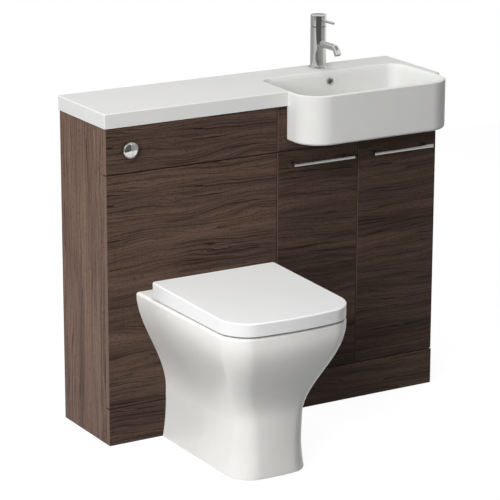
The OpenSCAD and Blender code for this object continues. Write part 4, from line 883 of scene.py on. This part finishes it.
def build_waste():
    """Profiles here are pairs of radius and height, from the bowl's floor or back wall"""
    chrome = finish_named("polished_chrome")
    ring = lathe("ring", [(6.6, -7.9), (7.9, -7.9), (7.9, -0.2), (10.4, -0.2), (11.0, 0.3),
                          (10.9, 0.9), (10.2, 1.4), (9.2, 1.5), (7.6, 1.3), (6.8, 0.6), (6.6, -0.4)],
                 overflow_place(), loop=True, sides=64)
    finish_piece(ring, "overflow_ring", chrome, angle=60)

    z, bore_r, tail_r, tail_z = TOP_LO[2] + BOWL_T, 19, 22, -63.9
    slot_r, slot_out, flange_t = 4, 12, 3.0
    at_waste = place_at(*WASTE_AT, z)
    flange = lathe("flange", [(bore_r, -8), (tail_r, -8), (tail_r, 0.0), (31.4, 0.0), (32, 0.6),
                              (31.6, 1.6), (30.2, 2.5), (28, flange_t), (21, flange_t), (19.6, 2.4),
                              (bore_r, 1.2)], at_waste, loop=True, sides=96)
    tail = lathe("tail", [(bore_r, tail_z), (tail_r, tail_z), (tail_r, -7.5), (bore_r, -7.5)],
                 at_waste, loop=True)
    cross = lathe("cross", [(5.2, -54), (19.5, -54), (19.5, -50), (5.2, -50)], at_waste, loop=True)
    slots = [rod("slot", slot_r, -60, -45, at_waste @ Matrix.Rotation(math.radians(a), 4, "Z")
                 @ place_at(slot_out, 0)) for a in range(0, 360, 60)]
    flange = shape_with(flange, "UNION", tail, shape_with(cross, "DIFFERENCE", *slots))
    finish_piece(flange, "waste_flange", chrome, angle=50)

    cap = lathe("cap", [(5, -28), (5, 0.3), (26.6, 0.3), (27.6, 0.7), (28, 1.6), (27.7, 2.6),
                        (26.6, 3.4), (24, 3.8), (16, 4.1), (8, 4.25), (0.4, 4.3)],
                place_at(*WASTE_AT, z + flange_t))
    finish_piece(cap, "waste_plug", chrome, angle=50)
    dress(["waste_nut", "bottle_trap", "trap_cup", "waste_pipe"],
          finish_named("white_polypropylene"), 0.5)


# ---------------------------------------------------------------- tap

def build_tap():
    s = bpy.context.scene.bathroom_unit.tap
    chrome = finish_named("polished_chrome")
    r, tube, reach, bend, crown, lever_r, lever_tip = (v * 1000 for v in (
        s.body_r, s.spout_r, s.spout_reach, s.bend_r, s.crown, s.lever_r, s.lever_reach))
    x, y = TAP_AT
    upright = place_at(x, y)
    z_top, z_spout, z_foot = corners("tap_body")[1][2], DECK_Z + 67, DECK_Z - 0.5
    shank_r, shank_l, bore_r, bore_l = 15, 60, 17.6, 25
    body = lathe("body", [(shank_r, DECK_Z - shank_l), (shank_r, z_foot), (r, z_foot)]
                 + [(r - i, z_top - d) for i, d in rounding(0.9, 4)]
                 + [(bore_r, z_top), (bore_r, z_top - bore_l), (0.5, z_top - bore_l)],
                 upright, sides=128)

    # The spout runs out level and bends down, and ends in a slightly wider collar
    slope, start, bend_steps = 62, 10, 20
    swing = math.radians(slope)
    run = reach - bend * math.sin(swing)
    path = [(x, y - 6, z_spout)] + [(x, y - mix(start, run, i / 6), z_spout) for i in range(7)]
    path += [(x, y - run - bend * math.sin(a), z_spout - bend * (1 - math.cos(a)))
             for a in [swing * i / bend_steps for i in range(1, bend_steps + 1)]]
    spout = sweep("spout", path, [tube] * len(path), sides=64)
    mouth = place_at(x, y - reach, z_spout - bend * (1 - math.cos(swing)), 90 + slope)
    collar = lathe("collar", [(tube - 0.2, -1.2), (tube + 0.5, -0.8), (tube + 0.6, -0.3),
                              (tube + 0.6, 11.3), (tube + 0.2, 11.9), (tube - 0.9, 12.0),
                              (tube - 1.5, 11.6), (tube - 1.5, 2.0), (0.5, 2.0)], mouth, sides=64)
    finish_piece(shape_with(body, "UNION", spout, collar), "tap_body", chrome, angle=30)

    flange = [(r + 0.1, 0), (25.6, 0), (26, 0.4), (26, 2.6), (25.6, 3.3), (24.8, 3.8), (23.8, 4),
              (r + 0.1, 4)]
    ring = lathe("flange", [(a, DECK_Z + h) for a, h in flange], upright, loop=True, sides=128)
    finish_piece(ring, "tap_flange", chrome, angle=40)

    # The head is a hollow cap with a dome, and tilts on two ears inside it
    z_head, z_crown = corners("tap_head")[0][2], corners("tap_head")[1][2] - 0.01
    z_brim, cap_r, cap_l, shoulder = z_crown - crown, 18, 23, 0.6
    dome = [(r * math.cos(a), z_brim + crown * math.sin(a) ** 0.9) for a in quarter(16, 1)[:-1]]
    head = lathe("head", [(cap_r, z_head + cap_l), (cap_r, z_head + 0.3), (cap_r + 0.4, z_head),
                          (r - 0.7, z_head), (r, z_head + 0.7), (r, z_brim - 0.9),
                          (r - 0.25, z_brim - 0.1)] + [p for p in dome if p[0] < r - shoulder]
                 + [(0.4, z_crown)], upright, sides=128)
    head = shape_with(head, "UNION", *[
        block("ear", (x + a, y + 12.5, z_head + 14), (x + b, y + 16.2, z_head + 23.5))
        for a, b in ((-8.3, -4.8), (4.8, 8.3))])
    finish_piece(head, "tap_head", chrome, angle=35)

    tip_r = 2.6
    rounded = [(lever_r - tip_r * (1 - math.cos(a)), lever_tip - tip_r + tip_r * math.sin(a))
               for a in quarter(6)]
    lever = lathe("lever", [(lever_r, 18.0), (lever_r, lever_tip - 3)] + rounded,
                  to_front(x, y, middle("tap_lever")[2]), sides=64)
    finish_piece(lever, "tap_lever", chrome, angle=40)

    dress(["tap_spindle"], finish_named("bright_steel"), 0.2)
    dress(["tap_aerator"], finish_named("grey_acetal"), 0.1)
    dress(["tap_fixing"], finish_named("turned_brass"), 0.4)
    dress(["tap_tails"], braided_hose(), 0.4)


# ---------------------------------------------------------------- pan

def build_pan():
    s = bpy.context.scene.bathroom_unit.pan
    rim_half, waist_half = s.rim_w * 500, s.waist_w * 500
    rim_out, waist_out, rim_z = s.rim_out * 1000, s.waist_out * 1000, s.rim_z * 1000
    edge, mouth_edge, wall = s.rim_edge * 1000, s.mouth_edge * 1000, 13
    waist_z, front_z, front_rise = 136, 156, 225    # where the sides and the front start to widen
    foot_h, foot_side, foot_front = 102, 10, 2      # height and flare of the foot
    foot_r, waist_r, rim_r = 57, 41, 64             # front corners
    horn_r, horn_bore_r, spigot_r, spigot_bore_r, trap_r = 32, 24, 51, 43, 34
    post_x, post_hole_r, post_hole_l = 78, 7.5, 41

    # The outer skin: narrow at its waist, wide at its rim, and a little flared at its foot
    def pan_ring(z, inset=0.0, lift=0.0):
        flare = max(0, 1 - z / foot_h) ** 2
        half = mix(waist_half, rim_half, ease((z - waist_z) / (rim_z - waist_z))) + foot_side * flare
        out = mix(waist_out, rim_out, ease((z - front_z) / front_rise)) + foot_front * flare
        t, grow = 2 * z / rim_z, ease(z / rim_z)
        r = mix(foot_r, waist_r, ease(t)) if t < 1 else mix(waist_r, rim_r, ease(t - 1))
        back = FACE_Y - (inset if inset > edge else inset / 2)
        return at_height(outline(half - inset, back, FACE_Y - out + inset, 3, r - inset,
                                 SIDE_TAPER * grow, FRONT_BOW * mix(0.55, 1, grow)), z + lift, PAN_X)

    z_edge = rim_z - edge
    outside = loft("pan", [pan_ring(0, 1.2), pan_ring(0.4, 0.4), pan_ring(1.5)]
                   + [pan_ring(z_edge * i / 44) for i in range(1, 45)]
                   + [pan_ring(z_edge, edge * (1 - math.cos(a)), edge * math.sin(a))
                      for a in quarter(7, 1)])
    inside = loft("hollow", [pan_ring(0, wall, -OVER)]
                  + [pan_ring((rim_z - 40) * i / 14, wall) for i in range(15)])

    # The bowl, from its floor (a share of 0) to its mouth (1)
    def bowl_ring_at(t, grow, z):
        k = ease(t)
        back, front = mix(215, 130, k), mix(330, rim_out - 44, k)
        return at_height(outline(mix(42, 118, k) + grow, FACE_Y - back + grow, FACE_Y - front - grow,
                                 mix(37, 60, k) + grow, mix(37, 96, k) + grow,
                                 mix(0, SIDE_TAPER, k)), z, PAN_X)

    z_bowl, z_mouth = 190, rim_z - 18

    def bowl(name, grow, top):
        rings = [bowl_ring_at(0, grow - 14 * (1 - math.sin(a)),
                              z_bowl - grow + 8 * (1 - math.cos(a))) for a in quarter(4)]
        rings += [bowl_ring_at(t, grow, mix(z_bowl + 10, z_mouth, t))
                  for t in [i / 16 for i in range(1, 17)]]
        return loft(name, rings + top)

    # The trapway arches from the bowl's floor back to the spigot; a share of t runs along it
    trap_front, trap_back, trap_arch = 289.5, 100, 304

    def trapway(name, r, t0, t1):
        path = [(PAN_X, FACE_Y - mix(trap_front, trap_back, t),
                 mix(z_bowl, SOIL_Z, t) + trap_arch * t * (1 - t))
                for t in [mix(t0, t1, i / 22) for i in range(23)]]
        return sweep(name, path, [r] * len(path), sides=40)

    def pipe(name, r, z, start, end):
        return rod(name, r, FACE_Y + start, FACE_Y + end, to_wall(PAN_X, 0, z))

    pan = shape_with(outside, "DIFFERENCE", inside)
    pan = shape_with(pan, "UNION",
                     bowl("bowl_wall", wall, [bowl_ring_at(1, wall, rim_z - 4)]),
                     pipe("horn", horn_r, FLUSH_Z, -150, -0.1),
                     pipe("spigot", spigot_r, SOIL_Z, -112, 60),
                     trapway("trap_wall", trap_r + 9, -0.06, 1.0))
    mouth = [bowl_ring_at(1, mouth_edge * (1 - math.cos(a)), rim_z - mouth_edge * (1 - math.sin(a)))
             for a in quarter(6)]
    mouth.append(bowl_ring_at(1, mouth_edge, rim_z + 2 * OVER))
    pan = shape_with(pan, "DIFFERENCE",
                     bowl("bowl", 0.0, mouth),
                     trapway("trap", trap_r, 0.0, 1.04),
                     pipe("horn_bore", horn_bore_r, FLUSH_Z, -170, OVER),
                     pipe("spigot_bore", spigot_bore_r, SOIL_Z, -100, 60 + OVER),
                     *[rod("post_hole", post_hole_r, rim_z - post_hole_l, rim_z + OVER,
                           place_at(PAN_X + k * post_x, HINGE_Y)) for k in (-1, 1)])
    finish_piece(pan, "toilet_pan", vitreous_china(), angle=42)


# ---------------------------------------------------------------- seat and lid

def pin_holes(xs, knuckle_w):
    """The holes for the hinge pins through the knuckles that start at each x"""
    return [rod("pin_hole", PIN_HOLE_R, 0, knuckle_w + 2 * OVER,
                to_right(PAN_X + x - OVER, HINGE_Y, HINGE_Z)) for x in xs]


def build_seat():
    s = bpy.context.scene.bathroom_unit.seat
    half, corner, edge, ring_w = s.width * 500, s.corner * 1000, s.edge * 1000, s.ring * 1000
    plastic = seat_plastic()
    z0, seat_t, lid_z, wall = corners("toilet_seat")[0][2], 15, corners("toilet_lid")[0][2], 4.5
    knuckle_w, knuckle_r = 12.0, 8.5
    inner_x, outer_x = 53.7, 90.3       # from the pan's middle to the seat's and the lid's knuckles
    seat_xs, lid_xs = (inner_x, -inner_x - knuckle_w), (outer_x, -outer_x - knuckle_w)

    def knuckle(x, y1, low, high):
        arm = block("arm", (PAN_X + x, y1, low), (PAN_X + x + knuckle_w, HINGE_Y, high))
        eye = rod("eye", knuckle_r, 0, knuckle_w, to_right(PAN_X + x, HINGE_Y, HINGE_Z))
        return shape_with(arm, "UNION", eye)

    # The seat's section, as pairs of inset and height, swept round its plan
    seat_half, seat_back, seat_front = half - 7.5, FACE_Y - 91.65, FACE_Y - 469.5

    def seat_ring(inset, z):
        return at_height(outline(seat_half - inset, seat_back - inset * 1.1, seat_front + inset,
                                 max(14, 24 - inset), corner - 4 + inset / 3, SIDE_TAPER, FRONT_BOW),
                         z, PAN_X)

    z1 = z0 + seat_t
    profile = [(2.0, z0), (0.6, z0 + 0.6), (0, z0 + 2), (0, z1 - 3)]
    profile += [(i, z1 - d) for i, d in rounding(3, 5)][1:]
    profile += [(ring_w - 9, z1), (ring_w - 5, z1 - 0.7), (ring_w - 2, z1 - 2.6),
                (ring_w - 0.4, z1 - 5.4), (ring_w, z1 - 8), (ring_w, z0 + 2), (ring_w - 0.8, z0 + 0.6),
                (ring_w - 2.5, z0)]
    seat = loft("seat", [seat_ring(i, z) for i, z in profile], loop=True)
    seat = shape_with(seat, "UNION", *[knuckle(x, seat_back - 12, HINGE_Z - knuckle_r, z1 - 0.1)
                                       for x in seat_xs])
    seat = shape_with(seat, "DIFFERENCE", *pin_holes(seat_xs, knuckle_w))
    finish_piece(seat, "toilet_seat", plastic, angle=40)

    # The lid is a shell whose top falls to the front, with slots for its hinges at the back
    lid_back, lid_front, crest_back, crest_front = FACE_Y - 79, FACE_Y - 477, 451, 443

    def lid_plan(inset):
        return outline(half - inset, lid_back - inset, lid_front + inset, max(3, 10 - inset),
                       corner - inset, SIDE_TAPER, FRONT_BOW)

    def flat_ring(inset, z):
        return at_height(lid_plan(inset), z, PAN_X)

    def crest_ring(inset, drop):
        return [(x + PAN_X, y,
                 mix(crest_back, crest_front, (lid_back - y) / (lid_back - lid_front)) - drop)
                for x, y in lid_plan(inset)]

    lid = loft("lid", [flat_ring(0.8, lid_z), flat_ring(0, lid_z + 0.8)]
               + [crest_ring(i, d) for i, d in rounding(edge, 6)])
    hollow = loft("hollow", [flat_ring(wall, lid_z - OVER), crest_ring(wall, wall + 3),
                             crest_ring(wall + 3, wall)])
    slot_in, slot_out = inner_x - 3, outer_x + knuckle_w
    slots = [block("slot", (PAN_X + a, FACE_Y - 84.5, lid_z - OVER),
                   (PAN_X + b, lid_back + OVER, HINGE_Z + knuckle_r + OVER))
             for a, b in ((-slot_out, -slot_in), (slot_in, slot_out))]
    lid = shape_with(lid, "DIFFERENCE", hollow, *slots)
    for x in lid_xs:
        web = block("web", (PAN_X + x, FACE_Y - 89.5, HINGE_Z - 4),
                    (PAN_X + x + knuckle_w, FACE_Y - 82.5, lid_z + 38.5))
        arm = knuckle(x, FACE_Y - 83.5, HINGE_Z - 4, HINGE_Z + knuckle_r - 0.1)
        lid = shape_with(lid, "UNION", arm, web)
    lid = shape_with(lid, "DIFFERENCE", *pin_holes(lid_xs, knuckle_w))
    finish_piece(lid, "toilet_lid", plastic, angle=32)

    dress(["seat_hinge_posts"], finish_named("polished_chrome"), 0.6)
    dress(["seat_buffers", "lid_buffers"], finish_named("grey_rubber"), 0.8)


# ---------------------------------------------------------------- cistern and button

def build_cistern():
    dress(["cistern_tank", "cistern_lid", "flush_valve", "flush_riser", "fill_valve", "fill_float",
           "flush_pipe", "pan_connector"], finish_named("cistern_polypropylene"), 0.6)
    dress(["flush_cone"], finish_named("grey_rubber"), 0.6)
    dress(["air_tubes"], finish_named("grey_acetal"), 0.0)


def build_button():
    s = bpy.context.scene.bathroom_unit.button
    chrome = finish_named("polished_chrome")
    r, out, inner = s.bezel_r * 1000, s.bezel_out * 1000, s.button_r * 1000
    place, sleeve, plate_z = to_front(*BUTTON_AT), 1.5, -47.9
    lip = [(0, 2.0), (0.3, out - 5.4), (1.0, out - 2.6), (2.0, out - 0.7), (2.9, out),
           (3.4, out - 0.2), (3.5, out - 0.8)]
    bezel = lathe("bezel", [(r - sleeve, -48), (r - sleeve, -0.2), (r, -0.2)]
                  + [(r - inset, h) for inset, h in lip]
                  + [(r - 3.5, -8), (r - 4.5, -8), (r - 4.5, -47)], place, loop=True, sides=128)
    nut = lathe("nut", [(r - 2, -24), (r + 3.5, -24), (r + 3.5, -18), (r - 2, -18)], place, loop=True)
    plate = lathe("plate", [(r - 4, plate_z), (r - 4, -42)], place)
    bores = [rod("bore", 2.6, -49, -40, place @ place_at(k * 7, 0)) for k in (-1, 1)]
    bezel = shape_with(bezel, "UNION", nut, shape_with(plate, "DIFFERENCE", *bores))
    finish_piece(bezel, "button_bezel", chrome, angle=50)

    # Two halves of one low dome, parted a little right of the middle
    split, gap, wide, stem_r, parts = 3.0, 0.4, 40, 3.5, 14
    peak, dome_h = out + 2, 3.4
    dome = [(inner, 1.2), (inner, peak - 4.2), (inner - 0.2, peak - 3.6)]
    dome += [(inner * math.sqrt(1 - k / parts) if k < parts else 0.4, peak - dome_h * (1 - k / parts))
             for k in range(1, parts + 1)]
    x, y, z = BUTTON_AT
    for node, lo, hi, stem_x in (("full_button", -wide, split, -7),
                                 ("half_button", split + gap, wide, 9)):
        half = shape_with(lathe("half", dome, place, sides=128), "INTERSECT",
                          block("keep", (x + lo, y - 20, z - 30), (x + hi, y + 10, z + 30)))
        half = shape_with(half, "UNION", rod("stem", stem_r, -8, 3, place @ place_at(stem_x, 0)))
        finish_piece(half, node, chrome, angle=30, edge=0.35)


# ---------------------------------------------------------------- add-on

class UNIT_OT_stage(bpy.types.Operator):
    """Sets up the camera, the pale floor and the soft lamps"""
    bl_idname = "bathroom_unit.stage"
    bl_label = "Stage"

    def execute(self, context):
        build_stage()
        return {"FINISHED"}


class UNIT_OT_cabinets(bpy.types.Operator):
    """Gives every board its walnut foil and eased edges"""
    bl_idname = "bathroom_unit.cabinets"
    bl_label = "Cabinets"

    def execute(self, context):
        build_cabinets()
        return {"FINISHED"}


class UNIT_OT_fittings(bpy.types.Operator):
    """Finishes the hinges, screws, pins, blocks and bumpers"""
    bl_idname = "bathroom_unit.fittings"
    bl_label = "Cabinet fittings"

    def execute(self, context):
        build_fittings()
        return {"FINISHED"}


class UNIT_OT_handles(bpy.types.Operator):
    """Builds the two bar handles"""
    bl_idname = "bathroom_unit.handles"
    bl_label = "Handles"

    def execute(self, context):
        build_handles()
        return {"FINISHED"}


class UNIT_OT_top(bpy.types.Operator):
    """Builds the cast top with its basin"""
    bl_idname = "bathroom_unit.top"
    bl_label = "Top and basin"

    def execute(self, context):
        build_top()
        return {"FINISHED"}


class UNIT_OT_waste(bpy.types.Operator):
    """Builds the overflow ring, waste and plug, and finishes the trap"""
    bl_idname = "bathroom_unit.waste"
    bl_label = "Waste and overflow"

    def execute(self, context):
        build_waste()
        return {"FINISHED"}


class UNIT_OT_tap(bpy.types.Operator):
    """Builds the mixer tap and finishes its fixings"""
    bl_idname = "bathroom_unit.tap"
    bl_label = "Tap"

    def execute(self, context):
        build_tap()
        return {"FINISHED"}


class UNIT_OT_pan(bpy.types.Operator):
    """Builds the glazed pan"""
    bl_idname = "bathroom_unit.pan"
    bl_label = "Pan"

    def execute(self, context):
        build_pan()
        return {"FINISHED"}


class UNIT_OT_seat(bpy.types.Operator):
    """Builds the seat and the lid, and finishes their hinges and buffers"""
    bl_idname = "bathroom_unit.seat"
    bl_label = "Seat and lid"

    def execute(self, context):
        build_seat()
        return {"FINISHED"}


class UNIT_OT_cistern(bpy.types.Operator):
    """Finishes the cistern, its valves and the pipes"""
    bl_idname = "bathroom_unit.cistern"
    bl_label = "Cistern and pipes"

    def execute(self, context):
        build_cistern()
        return {"FINISHED"}


class UNIT_OT_button(bpy.types.Operator):
    """Builds the flush button and its bezel"""
    bl_idname = "bathroom_unit.button"
    bl_label = "Flush button"

    def execute(self, context):
        build_button()
        return {"FINISHED"}


OPERATORS = (UNIT_OT_stage, UNIT_OT_cabinets, UNIT_OT_fittings, UNIT_OT_handles, UNIT_OT_top,
             UNIT_OT_waste, UNIT_OT_tap, UNIT_OT_pan, UNIT_OT_seat, UNIT_OT_cistern, UNIT_OT_button)
SETTINGS = (CabinetSettings, TopSettings, TapSettings, DoorSettings, PanSettings, SeatSettings,
            ButtonSettings, StageSettings, UnitSettings)


class UNIT_PT_panel(bpy.types.Panel):
    """Lists the settings and the steps of the unit"""
    bl_idname = "UNIT_PT_panel"
    bl_label = "Toilet and basin unit"
    bl_space_type = "VIEW_3D"
    bl_region_type = "UI"
    bl_category = "Bathroom"

    def draw(self, context):
        unit = context.scene.bathroom_unit
        for group in ("cabinet", "top", "tap", "door", "pan", "seat", "button", "stage"):
            box = self.layout.box()
            box.label(text=group.title())
            settings = getattr(unit, group)
            for name in settings.__annotations__:
                box.prop(settings, name)
        for step in OPERATORS:
            self.layout.operator(step.bl_idname)


def register():
    for cls in (*SETTINGS, *OPERATORS, UNIT_PT_panel):
        bpy.utils.register_class(cls)
    bpy.types.Scene.bathroom_unit = PointerProperty(type=UnitSettings)


def unregister():
    del bpy.types.Scene.bathroom_unit
    for cls in reversed((*SETTINGS, *OPERATORS, UNIT_PT_panel)):
        bpy.utils.unregister_class(cls)


def main():
    register()
    for step in OPERATORS:
        getattr(bpy.ops.bathroom_unit, step.bl_idname.split(".")[1])()


if __name__ == "__main__":
    main()
